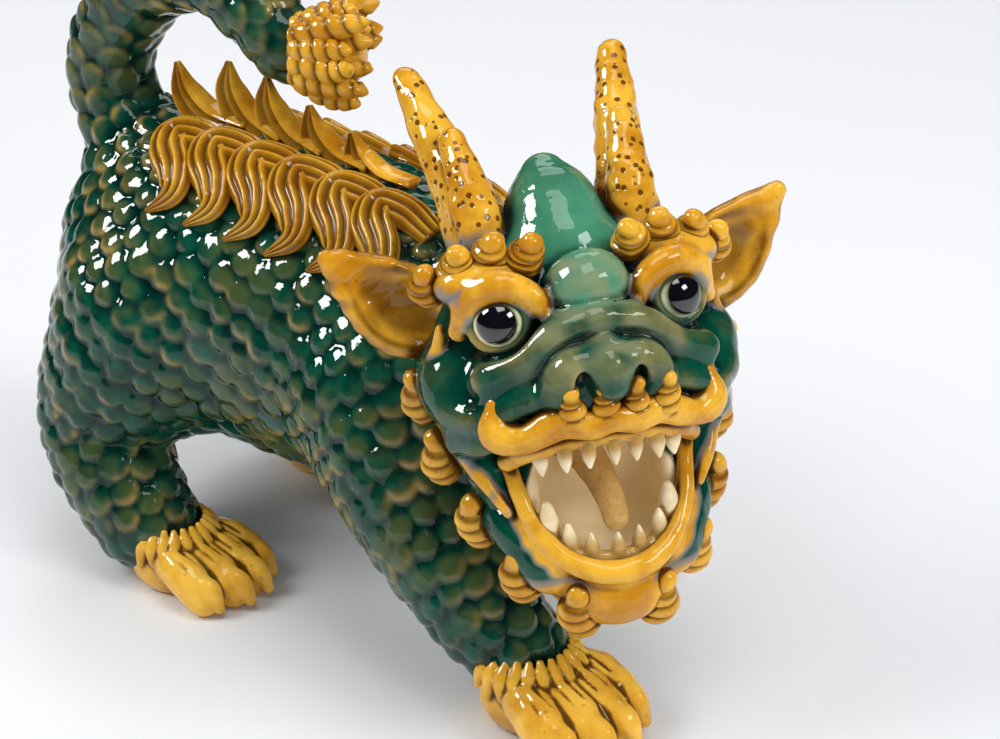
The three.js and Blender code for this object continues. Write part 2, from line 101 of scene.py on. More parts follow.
# Each paw: its heel on the ground, the way it points (degrees from +X) and its relative size.
PAWS = {
    "right_fore": ((72, -32), -8, 1.0),
    "left_fore": ((36, 36), 10, 0.94),
    "right_hind": ((-40, -32), 4, 0.9),
    "left_hind": ((-50, 39), 10, 0.9),
}
PAW_LENGTH = 30
TOES = 4
TOE_RADIUS = 5.7
TOE_PITCH = 8.2
TOE_STEP_BACK = 2.2  # how much shorter the outer toes are
GROOVE_OFFSET = 1.9  # from a toe's middle to the groove on each side of it
# Hair round the ankle: number of strands, and the angles they hang at, in degrees.
CUFF_STRANDS = 15
CUFF_START, CUFF_STEP = -112, 16

# Pressed scales.
SCALE_PITCH = 7.0
SCALE_RADIUS = 4.8
SCALE_TILT = 0.8
SCALE_DOME = 0.95
SCALE_BED = -0.8  # height of the skin between the scales
TORSO_FLOW = (-0.35, 0.5, -1)

# The head's own frame: x out of the face, y to its left ear, z to its crown.
HEAD_CENTRE = np.array([79, -21.5, 83.5])
HEAD_YAW, HEAD_PITCH, HEAD_ROLL = -41, 14, 3
EYE = np.array([21, 19.5, 21.5])
EYE_RADIUS = 6.2
PUPIL_RADIUS = 4.5
EYE_AXIS = np.array([0.93, 0.33, 0.14])
EYE_SOCKET = ((24, 20, 21.5), (7.0, 7.2, 6.8))  # centre and radii
LID_WIDTH, LID_HEIGHT, LID_RADIUS = 6.3, 5.9, 1.15
SKULL = ((-4, 0, 12), (27, 31, 28))
MUZZLE = [[4, 0, 4, 22], [16, 0, 7, 19], [23, 0, 8, 12]]
MUZZLE_STRETCH = (1, 1.15, 1)
THROAT = ((-2, 0, -16), (16, 25, 20))
KNOB = ((23.5, 0, 27.5), (8.3, 9.2, 7.6))
BROW_SWELL = ((15, 21, 29.5), (8, 11, 6))
JOWL = [[4, 25, 8, 10], [8, 23.5, -8, 7.5], [12, 18.5, -25, 5]]
# Balls that fill the cheek: centre, radii and blend.
CHEEK_FILL = [((11, 26, 3), 8.5, 4), ((20, 16, 9), (9, 10, 7), 5), ((7, 27, 7), 9.5, 4)]
FEATURE_REACH = 1.0  # how far the skin beside a feature still belongs to it
CROWN = [[2, 0, 32, 12.5], [-3, 0, 39, 11], [-7, 0, 46, 6]]
MOUTH = [[11, 0, -20, 12], [22, 0, -21, 13.8], [48, 0, -23, 18]]
MOUTH_STRETCH = (1, 1.28, 1)
LIP = [[15, -20.5, -11, 1.8], [20.5, -17.5, -24, 2.1], [26, -11, -33, 2.5], [29, 0, -36.5, 2.8]]
UPPER_LIP = [[19, -21, -10, 2.2], [26.5, -14, -6, 2.6], [30.5, 0, -4.5, 2.6]]
MOUSTACHE = [
    [26, -23.5, 4.5, 2.4],
    [26.5, -24, -1.5, 4.0],
    [29, -18.5, -3.0, 3.4],
    [32, -11, 0.3, 4.0],
    [34, -5, -1, 3.4],
    [34.5, 0, 0, 3.4],
]
CHEEK_ROLL = [[31.5, 2, 20.8, 2.8], [30.8, 9, 19.5, 3.2], [28.5, 16, 14.5, 3.8], [23.5, 24, 9.5, 4.0]]
NOSE_WING = [[35, 3.5, 13, 3.8], [34.8, 8, 11.5, 4.5], [33.5, 10.8, 8, 4.0], [33, 9, 5, 2.8]]
NOSE_BRIDGE = [[34.5, 0, 14.5, 3.4], [37, 0, 11.5, 4.6], [36.6, 0, 8, 4.2]]
MASK_EDGE = [
    [12, 31, 20, 1.2],
    [8, 33, 8, 1.4],
    [10, 30.5, -5, 1.5],
    [15, 26, -15, 1.5],
    [18, 22, -22, 1.2],
]
CHEEK_FOLDS = [
    [[33, 13, 6.5, 2.0], [29, 19, 4.5, 2.6], [23, 26.5, 1, 3.0], [14, 31.5, 2, 2.4]],
    [[27, 21, -3, 1.8], [21, 27, -5, 2.4], [13, 30.5, -6, 2.2]],
]
HORN = [[-6, 17, 34, 7.2], [-12, 19, 46, 5.8], [-21, 21.5, 58, 5], [-30.5, 24.2, 69, 3.4]]
HORN_TINE = [[1, 17.5, 33, 6.2], [-1, 18, 44, 5.4], [-9, 19.5, 57, 3.2]]
EAR = [[-3, 28, 18, 7], [-2, 36, 22.5, 10.5], [-2, 44.5, 30, 7], [-1, 52, 37, 2.2]]
EAR_SCOOP = [[3.6, 31, 19, 4.4], [3.2, 36.8, 23.5, 8.4], [2.8, 44, 30, 5.2], [2.4, 49, 34.8, 1.6]]
EAR_BACK = [[-6, 26, 14, 5], [-6.5, 33, 18, 5], [-6, 38, 21, 3]]
EAR_DEEP = [[0, 31, 19, 3.5], [-0.8, 36.8, 23.5, 5.5], [0, 43, 29, 3.2]]  # where its glaze pools
BROW = [
    [17, 28, 20, 2.2],
    [20.5, 25.5, 27, 3.0],
    [23.5, 19.5, 30, 3.3],
    [25.5, 13, 27.5, 2.8],
    [26.5, 10.8, 23.5, 1.8],
]
BROW_CURL_FEET = [[9, 32, 28], [14, 26, 32], [16, 19, 34], [18, 12, 33]]
BEARD_CENTRES = [[-2, 35, 4], [0, 32.5, -10], [7, 27.5, -24], [15, 20.5, -36], [22.5, 9.5, -44]]
# Radius and height of a wound bud.
BEARD_RADIUS, BEARD_HEIGHT = 5.0, 12.5
BROW_CURL_RADIUS, BROW_CURL_HEIGHT = 4.4, 8.8
LIP_CURL_RADIUS, LIP_CURL_HEIGHT = 3.4, 9.4
LIP_CURLS = 4
LIP_CURL_PITCH = 7.1
JAW_FLOOR = [[-2, 0, -37, 10], [9, 0, -40, 10.5], [19, 0, -41, 9.5]]
JAW_STRETCH = (1, 1.35, 1)
JAW_SIDE = [[2, 21, -22, 6], [12, 19.5, -26, 6.5], [19, 14, -35, 6.5]]
JAW_CORNER = [[-4, 13, -33, 7], [8, 13, -33, 7], [16, 10, -35, 6]]
CHIN = ((22, 0, -43), (8, 8.5, 6.5))
INNER_LIP = [[14, -17, -26, 2.0], [19, -13, -32.5, 2.2], [22, 0, -35.5, 2.4]]
TEETH = 7
TOOTH_RADIUS, TOOTH_HEIGHT = 1.8, 5.8
UPPER_GUM = [[23, -17, -6, 1.8], [29, -9, -5.5, 1.8], [31, 0, -5, 1.8]]
LOWER_GUM = [[18, -15.5, -27, 1.8], [23, -9, -32.5, 1.8], [25, 0, -34, 1.8]]
TONGUE = [[2, -1, -14, 4.2], [13, -1, -15, 4.0], [22, 0, -20, 3.3], [25, 0.5, -25, 2.9]]

MANE_LOCKS = 6
MANE_FIRST, MANE_PITCH = -44, 12.5
# Along, down (degrees from the spine), lift and width of a lock, from its root to its tip.
MANE_SHAPE = [
    [14, 18, 0.4, 0.8],
    [6, 16, 1.6, 1.05],
    [-1, 19, 2.4, 1.2],
    [0, 27, 2.6, 1.2],
    [6, 35, 2.8, 1.05],
    [8, 43, 2.4, 0.7],
    [2, 51, 1.4, 0.12],
]
MANE_WIDTH = 4.5
FAR_SIDE_DROP = 26  # degrees that the left locks sit lower
# Dorsal fins: x of the foot on the spine, then x and z of the tip.
CREST = [[-36, -56, 126], [-25, -39, 129.5], [-12, -27, 128], [2, -14, 123.5], [15, -1, 119.5]]
FIN_BEND = 0.24  # how far a fin bows off its straight line, as a share of its length
# From a fin's root to its tip.
FIN_WIDTHS = np.array([4.0, 4.6, 3.9, 0.7])
FIN_THICKNESS = np.array([3.8, 3.9, 3.2, 0.8])
TUFT_CENTRE = np.array([-3.0, 0.0, 139.0])
TUFT_TURN = 28  # degrees that the tuft points to the left of the body
TUFT_CORE = [[-14, 0, 137, 6.5], [-6, 0, 138, 7.2], [2, 0, 139, 6]]
TUFT_RADII = np.array([2.9, 3.5, 1.5])
TUFT_ROWS = [(72, 2), (44, 3), (18, 4), (-8, 4), (-34, 4), (-64, 2)]  # a row's tilt, and its curls
TUFT_SWING = 0.72  # radians between neighbouring curls

# Lofted pieces that are small enough for a ball to stand for them in their neighbours' shade.
BUD_POINTS = 9000
BUD_SIZE = 16
BUD_FILL = 0.42


# ---------------------------------------------------------------- curves and distances
def catmull(route, steps):
    """Stations along a smooth curve through a route, as rows of the route's own width."""
    p = np.asarray(route, float)
    first = 2 * p[0] - p[1]
    last = 2 * p[-1] - p[-2]
    p = np.vstack([first, p, last])
    t = np.arange(steps)[:, None] / steps
    rows = []
    for a, b, c, d in zip(p[:-3], p[1:-2], p[2:-1], p[3:]):
        linear = (c - a) * t
        square = (2 * a - 5 * b + 4 * c - d) * t**2
        cube = (3 * b - a - 3 * c + d) * t**3
        rows.append(0.5 * (2 * b + linear + square + cube))
    return np.vstack(rows + [p[-2:-1]])


def both_sides(half):
    """A symmetric route from its right half, which ends at the middle of the face."""
    half = np.asarray(half, float)
    turned = half[:-1][::-1] * [1, -1, 1, 1]
    return np.vstack([half, turned])


def on_side(side, route):
    """A route drawn for the left side, mirrored to the right side when side is -1."""
    route = np.array(route, float)
    route[:, 1] *= side
    return route


def spot(side, point):
    """A point given for the left side, mirrored to the right side when side is -1."""
    return np.asarray(point, float) * [1, side, 1]


def turn_about(axis, degrees):
    """The matrix of a turn about the x, y or z axis (0, 1 or 2)."""
    angle = math.radians(degrees)
    b, c = (axis + 1) % 3, (axis + 2) % 3
    turn = np.eye(3)
    turn[b, b] = turn[c, c] = math.cos(angle)
    turn[c, b] = math.sin(angle)
    turn[b, c] = -math.sin(angle)
    return turn


def circle(angle, across, rise):
    """Directions round a circle, for one pair of axes or for a pair at each station."""
    return np.cos(angle)[:, None] * across[..., None, :] + np.sin(angle)[:, None] * rise[..., None, :]


def cone_distance(x, y, z, a, b, stretch):
    """Distance to the round cone between two stations, on broadcast coordinates."""
    ax, ay, az = (x - a[0]) / stretch[0], (y - a[1]) / stretch[1], (z - a[2]) / stretch[2]
    line = (b[:3] - a[:3]) / stretch
    length = max(float(line @ line), 1e-9)
    t = np.clip((ax * line[0] + ay * line[1] + az * line[2]) / length, 0, 1)
    gap = np.sqrt((ax - t * line[0]) ** 2 + (ay - t * line[1]) ** 2 + (az - t * line[2]) ** 2)
    return (gap - (a[3] + t * (b[3] - a[3]))) * min(min(stretch), 1)


def sweep_distance(points, route, stretch=(1, 1, 1), steps=4):
    """Distance from each point to a round-ended sweep."""
    stations = catmull(route, steps)
    x, y, z = points.T
    nearest = np.full(len(points), 1e3)
    for a, b in zip(stations[:-1], stations[1:]):
        nearest = np.minimum(nearest, cone_distance(x, y, z, a, b, np.asarray(stretch, float)))
    return nearest


def smooth_min(a, b, blend):
    """The smaller of two distances, rounded where they are closer than the blend."""
    if blend <= 0:
        return np.minimum(a, b)
    h = np.clip(0.5 + 0.5 * (b - a) / blend, 0, 1)
    return b + (a - b) * h - blend * h * (1 - h)


def ramp(value, low, high):
    """A smooth step from 0 at low to 1 at high."""
    t = np.clip((value - low) / (high - low), 0, 1)
    return t * t * (3 - 2 * t)


def wobble(points, wavelength, seed, waves=7):
    """Gentle pseudo-random relief between about -1 and 1, from a few crossed waves."""
    rng = np.random.default_rng(seed)
    total = np.zeros(len(points))
    for _ in range(waves):
        heading = rng.normal(size=3)
        heading *= 2 * math.pi / wavelength * rng.uniform(0.6, 1.4) / np.linalg.norm(heading)
        total += np.sin(points @ heading + rng.uniform(0, 6.28))
    return total / waves**0.5 / 1.4


# ---------------------------------------------------------------- clay on a grid
class Clay:
    """A signed distance field in mm, negative inside the clay."""

    def __init__(self, low, high, voxel):
        self.low = np.asarray(low, float)
        self.voxel = voxel
        self.shape = np.ceil((np.asarray(high, float) - self.low) / voxel).astype(int) + 1
        self.field = np.full(self.shape, FAR, np.float32)

    def window(self, low, high):
        """The part of the grid inside a box, with its coordinates."""
        a = np.clip(np.floor((low - self.low) / self.voxel).astype(int), 0, self.shape)
        b = np.clip(np.ceil((high - self.low) / self.voxel).astype(int) + 1, 0, self.shape)
        axes = [self.low[i] + self.voxel * np.arange(a[i], b[i]) for i in range(3)]
        return tuple(slice(a[i], b[i]) for i in range(3)), np.ix_(*axes)

    def _join(self, place, distance, blend, carve):
        """Adds a shape to one part of the grid, or carves it away."""
        if carve:
            self.field[place] = -smooth_min(-self.field[place], distance, blend)
        else:
            self.field[place] = smooth_min(self.field[place], distance, blend)

    def sweep(self, route, blend=0.0, stretch=(1, 1, 1), steps=4, carve=False):
        """Adds a round-ended sweep, or carves it away."""
        stations = catmull(route, steps)
        stretch = np.asarray(stretch, float)
        reach = stations[:, 3].max() * max(stretch.max(), 1) + FAR
        whole, _ = self.window(stations[:, :3].min(0) - reach, stations[:, :3].max(0) + reach)
        local = np.full(self.field[whole].shape, FAR, np.float32)
        corner = np.array([s.start for s in whole])
        for a, b in zip(stations[:-1], stations[1:]):
            near = max(a[3], b[3]) * max(stretch.max(), 1) + FAR
            low, high = np.minimum(a, b)[:3] - near, np.maximum(a, b)[:3] + near
            place, (x, y, z) = self.window(low, high)
            inner = tuple(slice(s.start - c, s.stop - c) for s, c in zip(place, corner))
            local[inner] = np.minimum(local[inner], cone_distance(x, y, z, a, b, stretch))
        self._join(whole, local, blend, carve)

    def ball(self, centre, radii, blend=0.0, carve=False):
        """Adds an ellipsoid, or carves it away."""
        radii = np.broadcast_to(np.asarray(radii, float), 3)
        centre = np.asarray(centre, float)
        place, (x, y, z) = self.window(centre - radii - FAR, centre + radii + FAR)
        q = [v - c for v, c in zip((x, y, z), centre)]
        k0 = np.sqrt(sum((v / r) ** 2 for v, r in zip(q, radii)))
        k1 = np.sqrt(sum((v / r**2) ** 2 for v, r in zip(q, radii))) + 1e-6
        self._join(place, np.minimum(k0 * (k0 - 1) / k1, FAR), blend, carve)

    def flatten_below(self, height):
        """Cuts away everything under a level."""
        z = self.low[2] + self.voxel * np.arange(self.shape[2])
        self.field = np.maximum(self.field, (height - z)[None, None, :].astype(np.float32))

    def skin(self):
        """The clay's surface as (points, quads), with the quads facing outward."""
        grid = openvdb.FloatGrid(FAR)
        grid.copyFromArray(self.field)
        grid.transform = openvdb.createLinearTransform(voxelSize=self.voxel)
        points, quads = grid.convertToQuads(isovalue=0.0)
        points = np.asarray(points, float) + self.low
        quads = np.asarray(quads, np.int64)
        if signed_volume(points, quads) < 0:
            quads = quads[:, ::-1]
        return points, quads

    def sample(self, points):
        """The field at any points, and FAR outside the grid."""
        q = (points - self.low) / self.voxel
        inside = np.all((q >= 0) & (q < self.shape - 1), axis=1)
        result = np.full(len(points), FAR)
        q = q[inside]
        i = q.astype(int)
        f = q - i
        total = np.zeros(len(q))
        for corner in np.ndindex(2, 2, 2):
            weight = np.prod(np.where(corner, f, 1 - f), axis=1)
            total += weight * self.field[tuple((i + corner).T)]
        result[inside] = total
        return result


def signed_volume(points, quads):
    """The volume inside a skin, negative when its quads face inward."""
    a, b, c, d = (points[quads[:, k]] for k in range(4))
    halves = np.cross(b, c) + np.cross(c, d)
    return float(np.sum(a * halves)) / 6


def vertex_normals(points, quads):
    """Unit normals at the points, from the quads round each."""
    a, b, c, d = (points[quads[:, k]] for k in range(4))
    face = np.cross(c - a, d - b)
    normals = np.zeros_like(points)
    for k in range(4):
        for axis in range(3):
            normals[:, axis] += np.bincount(quads[:, k], face[:, axis], len(points))
    return normals / (np.linalg.norm(normals, axis=1)[:, None] + 1e-12)


def smoothed(values, quads, rounds):
    """Values averaged with their neighbours along the mesh, several times over."""
    a, b = quads.ravel(), np.roll(quads, -1, axis=1).ravel()
    size = len(values)
    count = np.bincount(a, minlength=size) + np.bincount(b, minlength=size)
    columns = [np.asarray(column, float) for column in np.atleast_2d(values.T)]
    for _ in range(rounds):
        for k, column in enumerate(columns):
            total = np.bincount(a, column[b], size) + np.bincount(b, column[a], size)
            columns[k] = 0.5 * column + 0.5 * total / np.maximum(count, 1)
    return np.array(columns).T.reshape(values.shape)


def bulge(points, quads, normals, rounds):
    """How far each point stands out from the smoothed skin, in mm."""
    return ((points - smoothed(points, quads, rounds)) * normals).sum(1)


def broken_glaze(points, quads, normals, rounds=10):
    """Where the glaze runs thin over an edge (rim), and where it gathers in a groove (pool)."""
    out = bulge(points, quads, normals, rounds)
    return {"rim": ramp(out, 0.04, 0.32), "pool": ramp(-out, 0.03, 0.26)}


# ---------------------------------------------------------------- pieces waiting to be made
class Draft:
    """One piece's mesh in layout millimetres, with a value per vertex for each glaze effect."""

    def __init__(self, name, points, faces, slot, effects=None, normals=None):
        self.name = name
        self.points = points
        self.faces = faces
        self.slot = slot
        self.effects = effects or {}
        self.normals = normals


drafts = []
fields = []  # (clay, is it in the head's frame), for how enclosed a point is


def cap_loops(points, quads):
    """Closes a cut skin: each open loop gets a fan to a point in its middle."""
    edges = np.concatenate([quads[:, [k, (k + 1) % 4]] for k in range(4)])
    size = len(points)
    forward = edges[:, 0] * size + edges[:, 1]
    backward = edges[:, 1] * size + edges[:, 0]
    rim = edges[~np.isin(forward, backward)]
    if not len(rim):
        return points, np.zeros((0, 3), int)
    following = {}
    for a, b in rim.tolist():
        following.setdefault(a, []).append(b)
    fans = []
    centres = []
    while following:
        start = next(iter(following))
        loop = [start]
        while following.get(loop[-1]):
            nexts = following[loop[-1]]
            step = nexts.pop()
            if not nexts:
                del following[loop[-1]]
            loop.append(step)
            if step == start:
                break
        centre = size + len(centres)
        centres.append(points[loop[:-1]].mean(0))
        fans += [(b, a, centre) for a, b in zip(loop[:-1], loop[1:])]
    return np.vstack([points, centres]), np.array(fans)


def split_skin(points, quads, normals, labels, names, slots, effects):
    """Parts one smooth skin into closed pieces by the label of each quad."""
    for label, name in enumerate(names):
        mine = quads[labels == label]
        used, renumbered = np.unique(mine, return_inverse=True)
        mine = renumbered.reshape(-1, 4)
        closed, fans = cap_loops(points[used], mine)
        extra = len(closed) - len(used)
        kept = {key: np.append(value[used], np.zeros(extra)) for key, value in effects.items()}
        up = np.vstack([normals[used], np.tile([0, 0, 1.0], (extra, 1))])
        drafts.append(Draft(name, closed, [mine, fans], slots[label], kept, up))


# ---------------------------------------------------------------- the pressed scales
def nearest_direction(points, route, steps=10):
    """The direction a route runs in, at its part nearest to each point."""
    stations = catmull(route, steps)[:, :3]
    middles = (stations[1:] + stations[:-1]) / 2
    lines = np.diff(stations, axis=0)
    lines /= np.linalg.norm(lines, axis=1)[:, None]
    best = np.full(len(points), 1e9)
    direction = np.zeros((len(points), 3))
    for middle, line in zip(middles, lines):
        gap = ((points - middle) ** 2).sum(1)
        closer = gap < best
        best = np.where(closer, gap, best)
        direction[closer] = line
    return direction


def scale_flow(points, normals, distances, routes):
    """The way the scales' tips point: down the flanks, and out along the legs and the tail."""
    weight = np.exp(-(distances - distances.min(0)) / 4)
    side = np.tanh(points[:, 1] / 8)
    down = np.tile(np.array(TORSO_FLOW, float), (len(points), 1))
    down[:, 1] *= side
    flow = weight[0][:, None] * down
    for share, route in zip(weight[1:], routes):
        flow += share[:, None] * nearest_direction(points, route)
    flow -= normals * (flow * normals).sum(1)[:, None]
    return flow / (np.linalg.norm(flow, axis=1)[:, None] + 1e-9)


def scale_centres(points, tree, pitch):
    """Vertices that scales are pressed at, packed from the top down."""
    order = np.argsort(-points[:, 2] - 0.7 * wobble(points, 11, 8))
    covered = np.zeros(len(points), bool)
    centres = []
    for k in order.tolist():
        if not covered[k]:
            centres.append(k)
            covered[[found[1] for found in tree.find_range(points[k], pitch)]] = True
    return centres


def pressed_scales(points, normals, flow):
    """Overlapping scales: height in mm, thin tip 0 to 1, and pooled shade 0 to 1, per vertex."""
    tree = KDTree(len(points))
    for k, point in enumerate(points):
        tree.insert(point, k)
    tree.balance()
    centres = scale_centres(points, tree, SCALE_PITCH)
    rng = np.random.default_rng(12)
    grown = rng.uniform(0.82, 1.1, len(centres))
    raised = rng.uniform(-0.28, 0.28, len(centres))
    turned = rng.uniform(-0.5, 0.5, len(centres))
    vertex, owner = [], []
    for i, k in enumerate(centres):
        found = [hit[1] for hit in tree.find_range(points[k], SCALE_RADIUS * 1.25)]
        vertex += found
        owner += [i] * len(found)
    vertex, owner = np.array(vertex), np.array(owner)
    middle = np.array(centres)[owner]
    side = np.cross(flow, normals)
    turn = turned[owner][:, None]
    ahead = flow[middle] * np.cos(turn) + side[middle] * np.sin(turn)
    gap = points[vertex] - points[middle]
    down = (gap * ahead).sum(1)
    across = (gap * np.cross(ahead, normals[middle])).sum(1)
    reach = np.hypot(across, down) / (SCALE_RADIUS * grown[owner])
    slope = SCALE_TILT * down / SCALE_RADIUS + SCALE_DOME * (1 - reach**2) + raised[owner]
    slope -= 0.9 * ramp(reach, 0.7, 1.02)
    tip = ramp(reach, 0.35, 0.72) * (1 - ramp(reach, 0.86, 0.98)) * ramp(down, -0.4, 2.4)
    shade = np.maximum(ramp(reach, 0.78, 0.98), 0.75 * ramp(-down, 0.2, 2.8))
    highest = np.argsort(slope)
    height = np.full(len(points), SCALE_BED)
    thin = np.zeros(len(points))
    pool = np.ones(len(points))
    height[vertex[highest]] = slope[highest]
    thin[vertex[highest]] = tip[highest]
    pool[vertex[highest]] = shade[highest]
    return np.maximum(height, SCALE_BED), thin, pool


# ---------------------------------------------------------------- body skin
def sculpt_body():
    """The body's two halves, the legs and the tail, as one skin with scales pressed into it."""
    clay = Clay((-100, -64, -1), (92, 64, 170), BODY_VOXEL)
    clay.sweep(TORSO, stretch=TORSO_STRETCH)
    for route in LEGS.values():
        clay.sweep(route, LEG_BLEND)
    clay.sweep(TAIL, LEG_BLEND)
    clay.flatten_below(1.0)
    fields.append((clay, False))
    points, quads = clay.skin()
    normals = vertex_normals(points, quads)

    names = ["body_shell_right", "body_shell_left", *(f"{word}_leg" for word in LEGS), "tail"]
    routes = [*LEGS.values(), TAIL]
    distances = [sweep_distance(points, TORSO, TORSO_STRETCH)]
    distances += [sweep_distance(points, route) for route in routes]
    distances = np.array(distances)
    flow = scale_flow(points, normals, distances, routes)
    height, rim, pool = pressed_scales(points, normals, flow)
    relief = (0.85 + 0.2 * wobble(points, 34, 3)) * (height - 0.3) + 0.25 * wobble(points, 20, 4)
    points = points + normals * smoothed(relief, quads, 5)[:, None]
    normals = vertex_normals(points, quads)
    rim = smoothed(rim, quads, 2) * (0.35 + 0.65 * ramp(wobble(points, 26, 6), -0.5, 0.5))
    pool = smoothed(pool, quads, 2)
    dome = 0.65 * ramp(smoothed(height, quads, 2), 0.1, 0.8)

    middle = points[quads].mean(1)
    label = distances[:, quads].mean(2).argmin(0)
    label = np.where(label == 0, np.where(middle[:, 1] > 0, 1, 0), label + 1)
    effects = {"rim": rim, "pool": pool, "dome": dome}
    split_skin(points, quads, normals, label, names, ["green_glaze"] * len(names), effects)


# ---------------------------------------------------------------- paws
def add_toe(clay, offset):
    """One toe with its claw, and the grooves along it."""
    reach = PAW_LENGTH - TOE_STEP_BACK * offset**2
    spread = offset * TOE_PITCH
    toe = [
        [2, spread * 0.5, 9, TOE_RADIUS * 0.7],
        [reach * 0.45, spread * 0.85, 10.5, TOE_RADIUS * 0.95],
        [reach * 0.72, spread * 0.97, 7.5, TOE_RADIUS],
        [reach * 0.88, spread, 4.2, TOE_RADIUS * 0.86],
    ]
    claw = [
        [reach * 0.8, spread, 9.6, 2.4],
        [reach * 0.98, spread, 7.6, 2.9],
        [reach * 1.08, spread, 2.8, 1.7],
    ]
    clay.sweep(toe, 1.0)
    clay.sweep(claw, 0.7)
    for y in (spread - GROOVE_OFFSET, spread + GROOVE_OFFSET):
        groove = [[2, y * 0.6, 17.8, 0.7], [reach * 0.45, y * 0.9, 16.2, 0.7], [reach * 0.72, y, 13.3, 0.4]]
        clay.sweep(groove, 0.8, carve=True)


def add_cuff(clay):
    """The strands of hair that hang round the ankle, long and short in turn."""
    for k in range(CUFF_STRANDS):
        angle = math.radians(CUFF_START + CUFF_STEP * k)
        x, y = math.cos(angle), math.sin(angle)
        strand = [
            [2 + 9.5 * x, 9.5 * y, 19, 0.9],
            [2 + 12 * x, 12 * y, 15, 1.9],
            [2 + 15 * x, 13.2 * y, 10.5 - 1.5 * (k % 2), 0.7],
        ]
        clay.sweep(strand, 0.6)


def sculpt_paw(word):
    heel, heading, size = PAWS[word]
    clay = Clay((-22, -26, -1), (40, 26, 34), PAW_VOXEL)
    clay.ball((4, 0, 7), (14, 13, 10.5))
    for i in range(TOES):
        add_toe(clay, i - (TOES - 1) / 2)
    add_cuff(clay)
    clay.flatten_below(0.0)
    points, quads = clay.skin()
    normals = vertex_normals(points, quads)
    raised = ramp(points[:, 2], 0.5, 3)
    points = points + normals * (0.16 * wobble(points, 6, 31) * raised)[:, None]
    points[:, 2] = np.maximum(points[:, 2], 0)
    points = points * size @ turn_about(2, heading).T + [*heel, 0]
    effects = broken_glaze(points, quads, vertex_normals(points, quads), 40)
    effects["light"] = 0.4 + 0.6 * ramp(wobble(points, 14, 77), -0.4, 0.6)
    drafts.append(Draft(f"{word}_paw", points, [quads], "amber_glaze", effects))


# ---------------------------------------------------------------- lofted pieces
def loft(rings):
    """A closed skin through rings of equal length, with a point at the middle of each end."""
    count, sides, _ = rings.shape
    points = np.concatenate([rings.reshape(-1, 3), rings[:1].mean(1), rings[-1:].mean(1)])
    i = np.arange(count - 1)[:, None] * sides
    j = np.arange(sides)[None]
    k = (j + 1) % sides
    quads = np.stack([i + j, i + k, i + sides + k, i + sides + j], -1).reshape(-1, 4)
    last = (count - 1) * sides
    start, end = count * sides, count * sides + 1
    j, k = j[0], k[0]
    fans = np.concatenate([
        np.stack([k, j, np.full(sides, start)], 1),
        np.stack([last + j, last + k, np.full(sides, end)], 1),
    ])
    if signed_volume(points, quads) < 0:
        quads, fans = quads[:, ::-1], fans[:, ::-1]
    return points, [quads, fans]


def join(meshes):
    """One mesh from several, each (points, faces, pool)."""
    points, quads, fans, pools = [], [], [], []
    start = 0
    for mesh_points, (mesh_quads, mesh_fans), pool in meshes:
        points.append(mesh_points)
        quads.append(mesh_quads + start)
        fans.append(mesh_fans + start)
        pools.append(pool)
        start += len(mesh_points)
    faces = [np.concatenate(quads), np.concatenate(fans)]
    return np.concatenate(points), faces, np.concatenate(pools)


def lofted(rings, groove):
    """A loft with its grooves, from 0 to 1 at each ring's points, as pooled glaze."""
    return (*loft(rings), np.append(np.broadcast_to(groove, rings.shape[:2]).ravel(), [0, 0]))


def frame_at(line, up):
    """Tangent, up and across directions along a line of points."""
    tangent = np.gradient(line, axis=0)
    tangent /= np.linalg.norm(tangent, axis=1)[:, None]
    across = np.cross(tangent, up)
    across /= np.linalg.norm(across, axis=1)[:, None] + 1e-9
    return tangent, np.cross(across, tangent), across


def ridged_lock(route, up, width, thick, depth, folded=False, ridges=4, steps=14, sides=96):
    """A tapering strap with ridges along its upper face, or folded: a rim round a sunk channel."""
    route = np.column_stack([route, width, thick, up])
    rows = catmull(route, steps)
    line, w, h, up = rows[:, :3], rows[:, 3], rows[:, 4], rows[:, 5:8]
    _, rise, across = frame_at(line, up)
    angle = np.linspace(0, 2 * math.pi, sides, endpoint=False)
    side, top = np.cos(angle), np.sin(angle)
    if folded:
        top = np.sign(top) * np.abs(top) ** 0.6
        valley = (1 - ramp(np.abs(side), 0.40, 0.72)) * (1 - 0.5 * np.exp(-((side / 0.14) ** 2)))
        line_in = valley * ramp(np.abs(top), 0.05, 0.4)
    else:
        ridge = np.abs(np.sin(ridges * math.pi / 2 * (side + 1)))
        line_in = (1 - ridge) ** 0.75 * ramp(top, 0.05, 0.4)
    swell = 1 - depth * line_in
    w = np.maximum(w, 0.12)[:, None, None]
    h = np.maximum(h, 0.12)[:, None, None]
    sideways = (np.sign(side) * np.abs(side) ** 0.85)[:, None]
    upward = (top * swell)[:, None]
    rings = line[:, None] + across[:, None] * (w * sideways) + rise[:, None] * (h * upward)
    return lofted(rings, line_in**0.6 * (0.62 if folded else 1))


